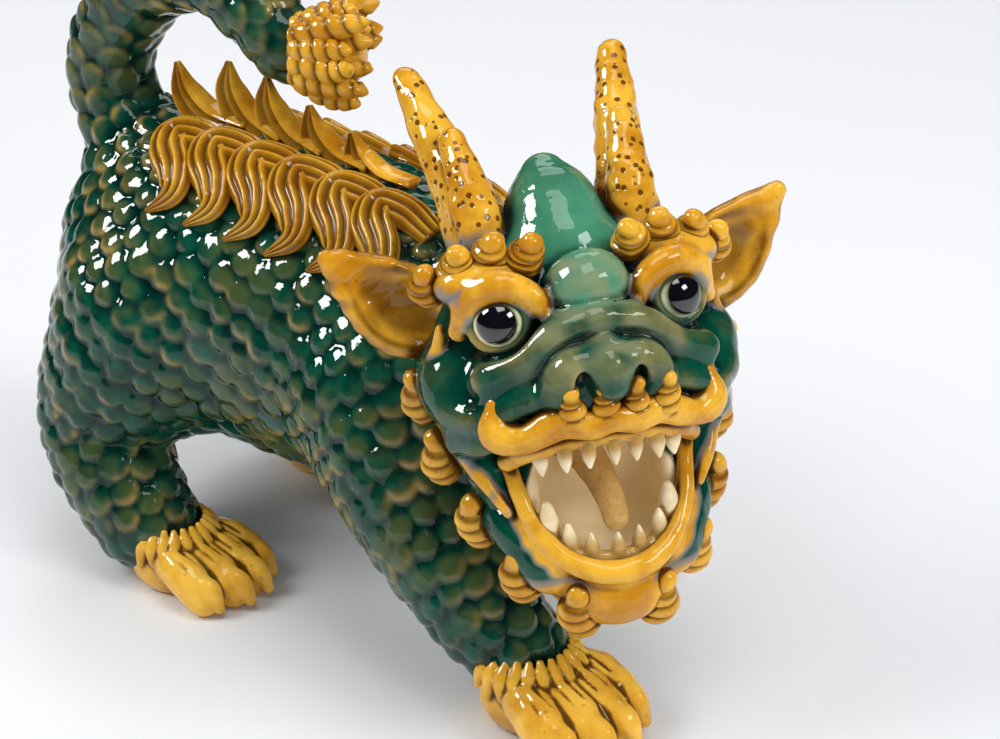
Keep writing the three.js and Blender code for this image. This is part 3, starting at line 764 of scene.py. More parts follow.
def wound_bud(foot, axis, radius, height, turns=2.3, seed=0, steps=60, sides=52):
    """A coil of clay wound up into a bud, with a round bead on top."""
    axis = np.asarray(axis, float) / np.linalg.norm(axis)
    rng = np.random.default_rng(seed)
    t = np.linspace(-0.15, 1, steps)
    bead = rng.uniform(0.54, 0.6)
    bead_at = 1 - bead * radius / height
    coil = np.interp(t, [-0.15, 0, 0.2, 0.42, 0.6, 0.7, 1], [0.8, 0.94, 1.0, 0.9, 0.72, 0.46, 0.4])
    ball = np.sqrt(np.maximum(bead**2 - ((t - bead_at) * height / radius) ** 2, 0))
    coiled = 1 - ramp(t, 0.62, 0.72)
    angle = np.linspace(0, 2 * math.pi, sides, endpoint=False) + rng.uniform(0, 6.28)
    phase = t[:, None] * turns / 0.68 - angle[None] / (2 * math.pi)
    groove = (np.abs((phase % 1) - 0.5) * 2) ** 3 * coiled[:, None]
    body = radius * coil[:, None] * (1 - 0.2 * groove) * (t < bead_at)[:, None]
    reach = np.maximum(np.maximum(body, radius * ball[:, None]), 0.02)
    helper = np.array([0.0, 0.0, 1.0]) if abs(axis[2]) < 0.9 else np.array([1.0, 0.0, 0.0])
    side = np.cross(axis, helper)
    side /= np.linalg.norm(side)
    other = np.cross(axis, side)
    lean = 0.09 * radius * np.sin(t * 6 + rng.uniform(0, 6))[:, None]
    centre = np.asarray(foot, float) + axis * (t * height)[:, None] + side * lean
    rings = centre[:, None] + reach[..., None] * circle(angle, side, other)
    neck = np.exp(-(((t - bead_at + bead * radius / height * 0.75) / 0.05) ** 2))[:, None]
    return lofted(rings, np.maximum(groove, 0.8 * neck))


def ringed_curl(route, rings_count, seed, steps=16, sides=28):
    """A tuft curl: a bent coil with rings round it and a small round end."""
    rows = catmull(route, steps)
    line, radius = rows[:, :3], rows[:, 3]
    _, rise, across = frame_at(line, np.array([0.13, 0.05, 1.0]))
    t = np.linspace(0, 1, len(line))
    angle = np.linspace(0, 2 * math.pi, sides, endpoint=False)
    phase = t[:, None] * rings_count + angle[None] / (2 * math.pi) + seed * 0.37
    groove = (np.abs((phase % 1) - 0.5) * 2) ** 3 * (1 - ramp(t, 0.88, 0.95))[:, None]
    end = np.sqrt(np.clip((1 - t) / 0.12, 0.001, 1)) * np.sqrt(np.clip(t / 0.05, 0.001, 1))
    reach = (radius * end)[:, None] * (1 - 0.24 * groove)
    rings = line[:, None] + reach[..., None] * circle(angle, across, rise)
    return lofted(rings, groove)


def add_lofted(name, mesh, place=lambda points: points):
    """An amber piece from one lofted mesh, moved to its place in the layout."""
    points, faces, pool = mesh
    drafts.append(Draft(name, place(points), faces, "amber_glaze", {"pool": pool}))


def on_torso(along, down, lift, side):
    """A point on the body's surface and the way out of the body there."""
    stations = catmull(TORSO, 24)
    centre = np.array([np.interp(along, stations[:, 0], stations[:, k]) for k in range(4)])
    angle = math.radians(down)
    out = np.array([0, side * math.sin(angle) * TORSO_STRETCH[1], math.cos(angle)])
    point = np.array([along, centre[1], centre[2]]) + out * (centre[3] + lift)
    return point, out / np.linalg.norm(out)


def sculpt_mane():
    """The mane: a row of ridged locks down each side of the spine."""
    width = np.array([row[3] for row in MANE_SHAPE]) * MANE_WIDTH
    for word, side in SIDES.items():
        lower = FAR_SIDE_DROP if side > 0 else 0
        for i in range(MANE_LOCKS):
            x = MANE_FIRST + i * MANE_PITCH
            placed = [on_torso(x + back, down + lower, lift, side) for back, down, lift, _ in MANE_SHAPE]
            route, up = (np.array(column) for column in zip(*placed))
            lock = ridged_lock(route, up, width, 0.72 * width + 0.5, 0.42)
            add_lofted(f"{word}_mane_lock_{i + 1}", lock)


def sculpt_crest():
    """The fins down the spine, each a folded strap that sweeps backward."""
    up = np.tile([0, -1.0, 0], (len(FIN_WIDTHS), 1))
    for i, (x, tip_x, tip_z) in enumerate(CREST):
        foot, _ = on_torso(x, 0, 0.5, 1)
        span = np.array([tip_x - x, 0, tip_z - foot[2]])
        bend = np.array([-span[2], 0, span[0]]) * FIN_BEND
        route = np.array([
            foot - span * 0.15,
            foot + span * 0.3 + bend,
            foot + span * 0.72 + bend * 0.9,
            foot + span,
        ])
        fin = ridged_lock(route, up, FIN_WIDTHS, FIN_THICKNESS, 0.74, folded=True)
        add_lofted(f"crest_fin_{i + 1}", fin)


def sculpt_tuft():
    """The tail's end: a bunch of ringed curls of clay that lie forwards and fan out a little."""
    rng = np.random.default_rng(5)
    curls = [ringed_curl(TUFT_CORE, 3, 0)]
    spin = turn_about(2, TUFT_TURN).T
    for row, (lift, count) in enumerate(TUFT_ROWS):
        rise, level = math.sin(math.radians(lift)), math.cos(math.radians(lift))
        for k in range(count):
            swing = (k - (count - 1) / 2) * TUFT_SWING + rng.uniform(-0.2, 0.2)
            aside = math.sin(swing) * (0.55 + 0.45 * level)
            ahead = 0.6 + 0.4 * math.cos(swing) * level
            base = np.array([-12, 5 * aside, 6 * rise])
            middle = base + [9.5 + rng.uniform(-1, 1), 3.5 * aside, 4.3 * rise + rng.uniform(-0.9, 0.9)]
            tip = middle + [
                11 * ahead * rng.uniform(0.6, 1.2),
                2.5 * aside,
                3 * rise + rng.uniform(-0.6, 2.6),
            ]
            route = np.array([base, middle, tip]) @ spin + TUFT_CENTRE
            route = np.column_stack([route, TUFT_RADII * rng.uniform(0.9, 1.1)])
            curls.append(ringed_curl(route, 5 + k % 2, k + row, steps=34, sides=32))
    add_lofted("tail_tuft", join(curls))


# ---------------------------------------------------------------- head
HEAD_TURN = turn_about(2, HEAD_YAW) @ turn_about(1, -HEAD_PITCH) @ turn_about(0, HEAD_ROLL)


def from_head(points):
    return points @ HEAD_TURN.T + HEAD_CENTRE


def to_head(points):
    return (points - HEAD_CENTRE) @ HEAD_TURN


def carve_mouth(clay):
    clay.sweep(MOUTH, 1.0, MOUTH_STRETCH, carve=True)


def bare_inside(points):
    """1 where the clay is bare inside the mouth."""
    depth = sweep_distance(points, MOUTH, MOUTH_STRETCH)
    edge = 25 + 4 * ramp(np.abs(points[:, 2] + 20), 0, 12) + 0.8 * wobble(points, 9, 50)
    return (1 - ramp(depth, 0.25, 0.9)) * (1 - ramp(points[:, 0] - edge, -1.5, 1.0))


def blob_distance(points, centre, radii):
    """Rough distance to an ellipsoid."""
    reach = np.linalg.norm((points - centre) / np.asarray(radii, float), axis=1)
    return (reach - 1) * min(radii)


def paired(points, route):
    """Distance to the nearer of a route's two mirrored copies."""
    return np.minimum(sweep_distance(points, route), sweep_distance(points, on_side(-1, route)))


def eye_frame(side):
    """The way an eye looks, and the two directions across it."""
    axis = spot(side, EYE_AXIS)
    axis /= np.linalg.norm(axis)
    across = np.cross(axis, [0, 0, 1.0])
    across /= np.linalg.norm(across)
    return axis, across, np.cross(across, axis)


def face_features(clay, side):
    """One side's cheeks, folds, eyelids and brow."""
    clay.sweep(on_side(side, JOWL), 4)
    for centre, radii, blend in CHEEK_FILL:
        clay.ball(spot(side, centre), radii, blend)
    clay.sweep(on_side(side, CHEEK_ROLL), 3.2)
    for fold in CHEEK_FOLDS:
        clay.sweep(on_side(side, fold), 3.6)
    clay.sweep(on_side(side, MASK_EDGE), 2.0)
    centre, radii = EYE_SOCKET
    clay.ball(spot(side, centre), radii, 3.0, carve=True)
    clay.sweep(eyelid(side), 1.4, steps=2)
    centre, radii = BROW_SWELL
    clay.ball(spot(side, centre), radii, 3)
    clay.sweep(on_side(side, BROW), 2.4)
    clay.sweep(on_side(side, NOSE_WING), 1.8)


def eyelid(side):
    """A ring of clay round the front of an eyeball."""
    axis, across, rise = eye_frame(side)
    front = spot(side, EYE) + axis * 2.3
    lid = []
    for angle in np.linspace(0, 2 * math.pi, 13):
        point = front + LID_WIDTH * math.cos(angle) * across + LID_HEIGHT * math.sin(angle) * rise
        lid.append([*point, LID_RADIUS])
    return lid


def sculpt_face():
    """The skull with what is blended into its green skin."""
    clay = Clay((-40, -46, -48), (46, 46, 62), HEAD_VOXEL)
    clay.ball(*SKULL)
    clay.sweep(MUZZLE, 4, MUZZLE_STRETCH)
    clay.ball(*THROAT, 4)
    clay.sweep(CROWN, 3.5)
    clay.ball(*KNOB, 2.4)
    for side in (-1, 1):
        face_features(clay, side)
    clay.sweep(NOSE_BRIDGE, 2.4)
    clay.sweep([[29, -8, 22, 1.6], [31.5, 0, 22, 2.0], [29, 8, 22, 1.6]], 2)
    clay.sweep(both_sides(UPPER_LIP), 1.8)
    carve_mouth(clay)
    for side in (-1, 1):
        clay.ball((38.2, side * 6.4, 8.6), (3.0, 1.6, 3.0), 1.0, carve=True)
        clay.ball((11, side * 16.5, -20), (6, 3, 8), 1.2)
    fields.append((clay, True))
    points, quads = clay.skin()
    normals = vertex_normals(points, quads)

    features = {
        "skull_and_upper_jaw": np.full(len(points), FEATURE_REACH),
        "crown_dome": sweep_distance(points, CROWN),
        "forehead_knob": blob_distance(points, *KNOB),
        "nose": np.minimum(paired(points, NOSE_WING), sweep_distance(points, NOSE_BRIDGE)),
        "right_cheek_roll": sweep_distance(points, on_side(-1, CHEEK_ROLL)),
        "left_cheek_roll": sweep_distance(points, CHEEK_ROLL),
        "right_brow": sweep_distance(points, on_side(-1, BROW)),
        "left_brow": sweep_distance(points, BROW),
    }
    label = np.array(list(features.values()))[:, quads].mean(2).argmin(0)
    effects = broken_glaze(points, quads, normals, 16)
    broad = bulge(points, quads, normals, 110)
    effects["dome"] = ramp(broad, 0.05, 0.8)
    effects["pool"] = np.maximum(effects["pool"], 0.8 * ramp(-broad, 0.1, 0.9))
    effects.update(face_colours(points))
    points = points + normals * (0.18 * wobble(points, 9, 40))[:, None]
    world_normals = vertex_normals(points, quads) @ HEAD_TURN.T
    slots = ["amber_glaze" if "brow" in name else "green_glaze" for name in features]
    split_skin(from_head(points), quads, world_normals, label, list(features), slots, effects)


def face_colours(points):
    """Where the face is amber, bare clay, or thinly glazed."""
    x, y, z = points.T
    lip = sweep_distance(points, both_sides(UPPER_LIP)) + 0.4 * wobble(points, 5, 41)
    edge = paired(points, MASK_EDGE) + 0.3 * wobble(points, 5, 42)
    brow = paired(points, BROW) + 0.4 * wobble(points, 5, 45)
    swells = [blob_distance(points, (14, across, 31), (9, 10, 5.5)) for across in (22, -22)]
    forehead = np.minimum(*swells) + 0.5 * wobble(points, 6, 46)
    horns = paired(points, HORN) + wobble(points, 6, 43)
    amber = np.maximum.reduce([
        1 - ramp(lip, 0.2, 1.3),
        1 - ramp(edge, 0.0, 0.9),
        1 - ramp(brow, 0.2, 1.3),
        1 - ramp(forehead, 0.0, 1.6),
        (1 - ramp(horns, 0.5, 2.5)) * np.where(y < 0, 1.0, 0.25),
    ])
    thin = ramp(x, 18, 26) * ramp(z, 6, 14) * (1 - ramp(np.abs(y), 13, 22))
    thin = np.clip(thin * (0.55 + 0.6 * wobble(points, 7, 44)), 0, 1)
    dome = np.minimum(sweep_distance(points, CROWN), blob_distance(points, *KNOB))
    return {"amber": amber, "bare": bare_inside(points), "thin": thin, "light": 1 - ramp(dome, 0.5, 2.5)}


def head_clay(name, slot, low, high, build, effects=None, relief=0.12, voxel=SMALL_VOXEL):
    """A piece of the head on a grid of its own, in the head's frame."""
    clay = Clay(low, high, voxel)
    build(clay)
    fields.append((clay, True))
    points, quads = clay.skin()
    normals = vertex_normals(points, quads)
    values = broken_glaze(points, quads, normals)
    if effects:
        values.update(effects(points))
    points = points + normals * (relief * wobble(points, 6, len(name)))[:, None]
    drafts.append(Draft(name, from_head(points), [quads], slot, values))


def lower_jaw(clay):
    clay.sweep(JAW_FLOOR, 2, JAW_STRETCH)
    for side in (-1, 1):
        clay.sweep(on_side(side, JAW_SIDE), 3)
        clay.sweep(on_side(side, JAW_CORNER), 3)
    clay.ball(*CHIN, 3)
    carve_mouth(clay)
    clay.sweep(both_sides(LIP), 1.6, steps=5)
    clay.sweep(both_sides(INNER_LIP), 1.0)


def jaw_effects(points):
    """Where the lower jaw is amber rather than green, and where it is bare."""
    lip = sweep_distance(points, both_sides(LIP))
    amber = 1 - ramp(lip + 0.5 * wobble(points, 6, 61), 1.4, 3.0)
    chin = ramp(-points[:, 2] + wobble(points, 9, 62), 36, 40) * ramp(points[:, 0], 8, 14)
    bare = bare_inside(points) * (1 - ramp(-lip, -1.2, -0.4))
    return {"amber": np.maximum(amber, chin), "bare": bare}


def tooth_row(gum, way, widest):
    """What builds one gum and its teeth, which point down (way -1) or up (way 1)."""
    def build(clay):
        line = catmull(both_sides(gum), 12)
        clay.sweep(both_sides(gum))
        for i in range(TEETH):
            t = (i + 0.5) / TEETH
            size = 1 + (widest - 1) * abs(2 * t - 1) ** 3
            foot = line[int(round(t * (len(line) - 1))), :3]
            lean = np.array([1.2, 0.25 * math.sin(9 * i), 0]) * size
            height = TOOTH_HEIGHT * size ** 0.5
            tip = foot + [0, 0, way * height] + lean
            middle = foot + [0, 0, way * 0.5 * height] + lean * 0.8
            blunt = 0.5 + (1.6 if way > 0 else 0.5) * (size - 1)
            radius = TOOTH_RADIUS * size
            clay.sweep([[*foot, radius], [*middle, 0.9 * TOOTH_RADIUS * size], [*tip, blunt]], 0.4)
    return build


def tongue(clay):
    clay.sweep(TONGUE, steps=5)
    clay.ball((26.6, 0.6, -28.6), 1.3, 0.5, carve=True)


def sculpt_head():
    sculpt_face()
    head_clay("lower_jaw", "amber_glaze", (-26, -34, -60), (44, 34, -4), lower_jaw, jaw_effects)
    head_clay("moustache_roll", "amber_glaze", (8, -34, -12), (46, 34, 16),
              lambda clay: clay.sweep(both_sides(MOUSTACHE), steps=5))
    head_clay("upper_teeth", "cream_glaze", (10, -26, -24), (42, 26, 4), tooth_row(UPPER_GUM, -1, 1.35),
              lambda p: {"gum": ramp(p[:, 2], -11, -7)}, 0.05)
    head_clay("lower_teeth", "cream_glaze", (8, -26, -44), (38, 26, -10), tooth_row(LOWER_GUM, 1, 1.9),
              lambda p: {"gum": 1 - ramp(p[:, 2], -31, -26)}, 0.05)
    head_clay("tongue", "bisque_clay", (-8, -10, -34), (34, 10, -2), tongue)
    for k, (word, side) in enumerate(SIDES.items()):
        sculpt_horn(word, side)
        sculpt_ear(word, side)
        sculpt_eye(word, side)
        sculpt_curls(word, side, k)
    sculpt_moustache_curls()


def side_box(side, low, high):
    """The low and high corners of a box given for the left side, on either side."""
    (x0, y0, z0), (x1, y1, z1) = low, high
    near, far = sorted((side * y0, side * y1))
    return (x0, near, z0), (x1, far, z1)


def sculpt_horn(word, side):
    def build(clay):
        clay.sweep(on_side(side, HORN), steps=5)
        clay.sweep(on_side(side, HORN_TINE), 1.5, steps=5)

    def effects(p):
        amber = ramp(p[:, 2] + 2 * wobble(p, 9, 70), 33, 39)
        return {"amber": amber, "horn": np.ones(len(p))}

    box = side_box(side, (-42, 6, 22), (12, 34, 84))
    head_clay(f"{word}_horn", "amber_glaze", *box, build, effects, 0.35)


def sculpt_ear(word, side):
    def build(clay):
        clay.sweep(on_side(side, EAR), stretch=(0.55, 1, 1), steps=6)
        clay.sweep(on_side(side, EAR_SCOOP), 1.5, (0.66, 1, 1), steps=6, carve=True)
        clay.sweep(on_side(side, EAR_BACK), 1.5)

    def effects(p):
        deep = sweep_distance(p, on_side(side, EAR_DEEP))
        return {"pool": 0.75 * (1 - ramp(deep, -2.0, 1.5))}

    box = side_box(side, (-18, 18, 4), (16, 62, 48))
    head_clay(f"{word}_ear", "amber_glaze", *box, build, effects, 0.25)


def sculpt_eye(word, side):
    """An eyeball whose black glaze stands a little proud of a pale rim."""
    axis, across, rise = eye_frame(side)
    angle = np.linspace(0, 2 * math.pi, 72, endpoint=False)
    tilt = np.linspace(0.01, math.pi - 0.01, 72)
    out = np.sin(tilt) * EYE_RADIUS
    pupil = 1 - ramp(out, PUPIL_RADIUS - 0.25, PUPIL_RADIUS + 0.25)
    pupil = np.where(tilt < math.pi / 2, pupil, 0)
    ahead = np.cos(tilt) * EYE_RADIUS + 0.35 * pupil
    middle = spot(side, EYE) + axis * ahead[:, None]
    rings = middle[:, None] + out[:, None, None] * circle(angle, across, rise)
    points, faces = loft(rings)
    dark = np.append(np.repeat(pupil, len(angle)), [1, 0])
    drafts.append(Draft(f"{word}_eye", from_head(points), faces, "black_glaze", {"pupil": dark}))


def sculpt_curls(word, side, k):
    """The buds of the beard, one by one, and the buds along the brow."""
    for i, (x, y, z) in enumerate(BEARD_CENTRES):
        axis = np.array([0.5 + 0.03 * i, side * (0.3 - 0.04 * i), 0.8])
        foot = np.array([x, side * y, z]) - axis * 0.48 * BEARD_HEIGHT
        bud = wound_bud(foot, axis, BEARD_RADIUS, BEARD_HEIGHT, seed=10 * k + i)
        add_lofted(f"{word}_beard_curl_{i + 1}", bud, from_head)
    buds = []
    for i, (x, y, z) in enumerate(BROW_CURL_FEET):
        foot = (x, side * y, z)
        axis = (0.66, 0.02 * side * (y - 20), 0.75)
        seed = 40 + 10 * k + i
        buds.append(wound_bud(foot, axis, BROW_CURL_RADIUS, BROW_CURL_HEIGHT, seed=seed))
    strip = on_side(side, [[*foot, 2.8] for foot in BROW_CURL_FEET])
    buds.append(ringed_curl(strip, 1, 0))
    add_lofted(f"{word}_brow_curls", join(buds), from_head)


def sculpt_moustache_curls():
    """Adds the small buds on the lip to the moustache's own piece."""
    roll = next(d for d in drafts if d.name == "moustache_roll")
    drafts.remove(roll)
    meshes = [(to_head(roll.points), [roll.faces[0], np.zeros((0, 3), int)], roll.effects["pool"])]
    for i in range(LIP_CURLS):
        y = (i - (LIP_CURLS - 1) / 2) * LIP_CURL_PITCH + 1.8
        foot = (34.6 - abs(y) * 0.1, y, 0.2)
        meshes.append(wound_bud(foot, (0.4, 0, 0.92), LIP_CURL_RADIUS, LIP_CURL_HEIGHT, seed=80 + i))
    add_lofted("moustache", join(meshes), from_head)


# ---------------------------------------------------------------- how enclosed each point is, for pooled glaze and painted shade
def openness(points, normals):
    """1 on an open face, falling towards 0 in a crease, where the glaze pools and where the colours paint
    in shade.
    """
    total = np.zeros(len(points))
    steps = (0.8, 1.6, 3.2, 6.0)
    for step in steps:
        ahead = points + normals * step
        in_head = to_head(ahead)
        nearest = np.full(len(points), FAR)
        for clay, on_head in fields:
            nearest = np.minimum(nearest, clay.sample(in_head if on_head else ahead))
        total += np.clip(nearest / step, 0, 1)
    return total / len(steps)


def bud_proxies():
    """Balls that stand for the lofted pieces where they shade their neighbours."""
    clay = Clay((-110, -70, 0), (130, 75, 175), 1.5)
    for draft in drafts:
        if len(draft.faces) == 2 and len(draft.points) < BUD_POINTS:
            low, high = draft.points.min(0), draft.points.max(0)
            if (high - low).max() < BUD_SIZE:
                clay.ball((low + high) / 2, (high - low) * BUD_FILL)
    fields.append((clay, False))


# ---------------------------------------------------------------- glazes
class Shade:
    """A small helper that adds nodes to one material and links them."""

    def __init__(self, name):
        self.material = bpy.data.materials.new(name)
        self.material.use_nodes = True
        self.tree = self.material.node_tree
        self.surface = self.tree.nodes["Principled BSDF"]

    def node(self, kind, **settings):
        made = self.tree.nodes.new(kind)
        for key, value in settings.items():
            setattr(made, key, value)
        return made

    def feed(self, node, values):
        """Sets inputs of a node, each to a number, a colour or another node's output."""
        for name, value in values.items():
            if isinstance(value, tuple):
                node.inputs[name].default_value = (*value, 1.0)
            elif isinstance(value, (int, float)):
                node.inputs[name].default_value = value
            else:
                self.tree.links.new(value, node.inputs[name])

    def surfaced(self, values):
        """The finished material, with inputs of its surface set."""
        self.feed(self.surface, values)
        return self.material

    def effect(self, name):
        return self.node("ShaderNodeAttribute", attribute_name=name).outputs["Fac"]

    def place(self):
        return self.node("ShaderNodeNewGeometry").outputs["Position"]

    def noise(self, scale, detail=4.0, rough=0.55, distortion=0.0):
        made = self.node("ShaderNodeTexNoise")
        self.feed(made, {"Vector": self.place(), "Scale": scale, "Detail": detail})
        self.feed(made, {"Roughness": rough, "Distortion": distortion})
        return made.outputs["Fac"]

    def math(self, operation, a, b):
        made = self.node("ShaderNodeMath", operation=operation)
        self.feed(made, {0: a, 1: b})
        return made.outputs[0]

    def times(self, a, b):
        return self.math("MULTIPLY", a, b)

    def between(self, value, low, high, start=0.0, end=1.0):
        made = self.node("ShaderNodeMapRange", interpolation_type="SMOOTHSTEP")
        self.feed(made, {"Value": value, "From Min": low, "From Max": high, "To Min": start, "To Max": end})
        return made.outputs[0]

    def patchy(self, name, scale, detail, *limits):
        """An effect that noise makes stronger in some places than in others."""
        return self.times(self.effect(name), self.between(self.noise(scale, detail), *limits))

    def mix(self, factor, a, b):
        """Colour a where the factor is 0, and b where it is 1."""
        made = self.node("ShaderNodeMix", data_type="RGBA")
        self.feed(made, {0: factor, 6: a, 7: b})
        return made.outputs[2]

    def bump(self, height, strength, distance):
        """A normal that follows a height."""
        made = self.node("ShaderNodeBump")
        self.feed(made, {"Strength": strength, "Distance": distance, "Height": height})
        return made.outputs[0]


# Linear colours of the glazes, from thin to pooled; the deep colours, the bare clay's shade, the gum colour
# and the eye's crease colour also paint shade where a place is enclosed.
GREEN_LIGHT = (0.006, 0.118, 0.064)
GREEN_PALE = (0.070, 0.290, 0.170)
GREEN_BODY = (0.001, 0.038, 0.025)
GREEN_DEEP = (0.0003, 0.009, 0.008)
OLIVE = (0.105, 0.115, 0.024)
OCHRE_RIM = (0.40, 0.27, 0.075)
AMBER_PALE = (0.92, 0.54, 0.075)
AMBER_LIGHT = (0.76, 0.41, 0.036)
AMBER_BODY = (0.50, 0.21, 0.009)
AMBER_DEEP = (0.085, 0.024, 0.003)
MILKY_BLUE = (0.16, 0.21, 0.27)
BARE_CLAY = (0.97, 0.80, 0.50)
BARE_SHADE = (0.80, 0.58, 0.28)
GREY_THIN = (0.26, 0.26, 0.13)
TOOTH_SHADE = (0.80, 0.64, 0.36)
TOOTH_IVORY = (0.88, 0.78, 0.55)
GUM_AND_SHADE = (0.50, 0.30, 0.08)
EYE_RIM_SHADE = (0.58, 0.64, 0.34)
EYE_RIM_PALE = (0.86, 0.86, 0.60)
EYE_CREASE_POOL_AND_SHADE = (0.05, 0.11, 0.06)
PUPIL = (0.004, 0.004, 0.006)
BISQUE_SHADE = (0.46, 0.25, 0.058)
BISQUE_LIGHT = (0.58, 0.34, 0.10)
PAPER_SHADE = (0.76, 0.77, 0.79)
PAPER_LIGHT = (0.80, 0.81, 0.825)


def green_colour(shade, closed):
    """Green: mottled, olive on the domes, ochre on thin rims, nearly black where it pools and, as painted
    shade, where it is enclosed.
    """
    mottle = shade.between(shade.noise(170, 5, 0.6, 0.6), 0.38, 0.68)
    cloud = shade.between(shade.noise(38, 3), 0.40, 0.66)
    base = shade.mix(shade.times(mottle, 0.45), GREEN_BODY, GREEN_LIGHT)
    base = shade.mix(shade.times(cloud, 0.22), base, GREEN_LIGHT)
    base = shade.mix(shade.patchy("dome", 60, 3, 0.42, 0.62, 0.0, 0.75), base, OLIVE)
    base = shade.mix(shade.patchy("light", 45, 4, 0.3, 0.7, 0.35, 0.95), base, GREEN_PALE)
    rim = shade.patchy("rim", 70, 3, 0.44, 0.62, 0.05, 1.0)
    base = shade.mix(shade.times(rim, 0.85), base, OCHRE_RIM)
    base = shade.mix(shade.times(shade.effect("thin"), 0.6), base, GREY_THIN)
    # Pooled glaze from the pool effect, and painted shade from how enclosed the place is.
    depth = shade.math("MAXIMUM", shade.times(shade.effect("pool"), 0.9), closed)
    return shade.mix(depth, base, GREEN_DEEP)


def amber_colour(shade, closed):
    """Amber: clouded and specked, and dark brown where it pools and, as painted shade, where it is
    enclosed.
    """
    cloud = shade.between(shade.noise(70, 4, 0.6), 0.36, 0.64)
    base = shade.mix(cloud, AMBER_BODY, AMBER_LIGHT)
    base = shade.mix(shade.patchy("light", 110, 4, 0.34, 0.66, 0.3, 0.9), base, AMBER_PALE)
    speck = shade.between(shade.noise(420, 2), 0.66, 0.74)
    base = shade.mix(shade.times(speck, 0.35), base, AMBER_DEEP)
    # Pooled glaze from the pool effect, and painted shade from how enclosed the place is.
    depth = shade.math("MAXIMUM", shade.times(shade.effect("pool"), 0.95), closed)
    return shade.mix(depth, base, AMBER_DEEP)


def horn_dots(shade, colour):
    """Punched dark dots over the horns: the dotted colour, and where the dots are."""
    cells = shade.node("ShaderNodeTexVoronoi", feature="F1")
    shade.feed(cells, {"Vector": shade.place(), "Scale": 400.0, "Randomness": 0.85})
    dot = shade.between(cells.outputs["Distance"], 0.22, 0.34, 1.0, 0.0)
    dot = shade.times(dot, shade.effect("horn"))
    return shade.mix(shade.times(dot, 0.9), colour, AMBER_DEEP), dot


def glaze_colour(shade, bare):
    """Green or amber, milky where they meet, and bare clay, darker with painted shade where it is enclosed:
    the colour, and the horns' dots.
    """
    # How enclosed each point is paints shade into both glazes, on top of their real pooling.
    green = green_colour(shade, shade.between(shade.effect("closed"), 0.18, 0.7, 0.0, 0.88))
    pooled_and_shaded = shade.between(shade.effect("closed"), 0.14, 0.62, 0.0, 0.95)
    amber, dot = horn_dots(shade, amber_colour(shade, pooled_and_shaded))
    share = shade.effect("amber")
    fringe = shade.times(share, shade.math("SUBTRACT", 1.0, share))
    colour = shade.mix(shade.times(fringe, 2.2), shade.mix(share, green, amber), MILKY_BLUE)
    # Bare clay in the mouth, darker with painted shade where it is enclosed.
    clay = shade.mix(shade.between(shade.effect("closed"), 0.35, 1.0), BARE_CLAY, BARE_SHADE)
    return shade.mix(bare, colour, clay), dot


def glaze(name):
    """The lead glaze, whose colour follows the effects on each piece."""
    shade = Shade(name)
    bare = shade.effect("bare")
    colour, dot = glaze_colour(shade, bare)
    rough = shade.between(shade.noise(60, 3), 0.3, 0.7, 0.04, 0.11)
    ripple = shade.math("ADD", shade.noise(140, 2), shade.times(shade.noise(560, 2), 0.12))
    normal = shade.bump(shade.math("SUBTRACT", ripple, shade.times(dot, 0.5)), 0.55, 0.0006)
    return shade.surfaced({
        "Base Color": colour,
        "Roughness": shade.math("MAXIMUM", rough, shade.times(bare, 0.6)),
        "Coat Weight": shade.math("SUBTRACT", 1.0, bare),
        "Coat Roughness": 0.03,
        "Specular IOR Level": 0.0,
        "Coat IOR": 1.39,
        "Normal": normal,
        "Coat Normal": normal,
    })


def tooth_glaze():
    shade = Shade("cream_glaze")
    ivory = shade.mix(shade.between(shade.noise(300, 3), 0.35, 0.7), TOOTH_SHADE, TOOTH_IVORY)
    # The gum colour is the real glaze band at the teeth's roots, and painted shade in enclosed crevices.
    gum = shade.math("MAXIMUM", shade.effect("gum"), shade.between(shade.effect("closed"), 0.35, 0.8))
    return shade.surfaced({
        "Base Color": shade.mix(gum, ivory, GUM_AND_SHADE),
        "Roughness": 0.16,
        "Coat Weight": 0.7,
        "Normal": shade.bump(shade.noise(500, 3), 0.4, 0.0003),
    })


def eye_glaze():
    shade = Shade("black_glaze")
    rim = shade.mix(shade.between(shade.noise(400, 3), 0.35, 0.65), EYE_RIM_SHADE, EYE_RIM_PALE)
    # Dark green in the crease round the eye: pooled glaze and painted shade.
    rim = shade.mix(shade.between(shade.effect("closed"), 0.45, 0.9), rim, EYE_CREASE_POOL_AND_SHADE)
    return shade.surfaced({
        "Base Color": shade.mix(shade.effect("pupil"), rim, PUPIL),
        "Roughness": 0.05,
        "Coat Weight": 1.0,
        "Normal": shade.bump(shade.noise(300, 2), 0.25, 0.0003),
    })


def bisque():
    shade = Shade("bisque_clay")
    grain = shade.between(shade.noise(900, 4, 0.7), 0.3, 0.7)
    clay = shade.mix(grain, BISQUE_SHADE, BISQUE_LIGHT)
    # The tongue's clay darkens where it is enclosed: painted shade.
    return shade.surfaced({
        "Base Color": shade.mix(shade.between(shade.effect("closed"), 0.2, 0.8), clay, BARE_SHADE),
        "Roughness": 0.62,
        "Normal": shade.bump(grain, 0.5, 0.0003),
    })


# ---------------------------------------------------------------- pieces
EFFECTS = ("rim", "pool", "dome", "light", "thin", "bare", "horn", "gum", "pupil")


def shading_normals(draft):
    """Smooth normals of a draft, from its quads and its triangles, which repeat a corner."""
    corners = [faces[:, [0, 1, 2, -1]] for faces in draft.faces if len(faces)]
    return vertex_normals(draft.points, np.vstack(corners))


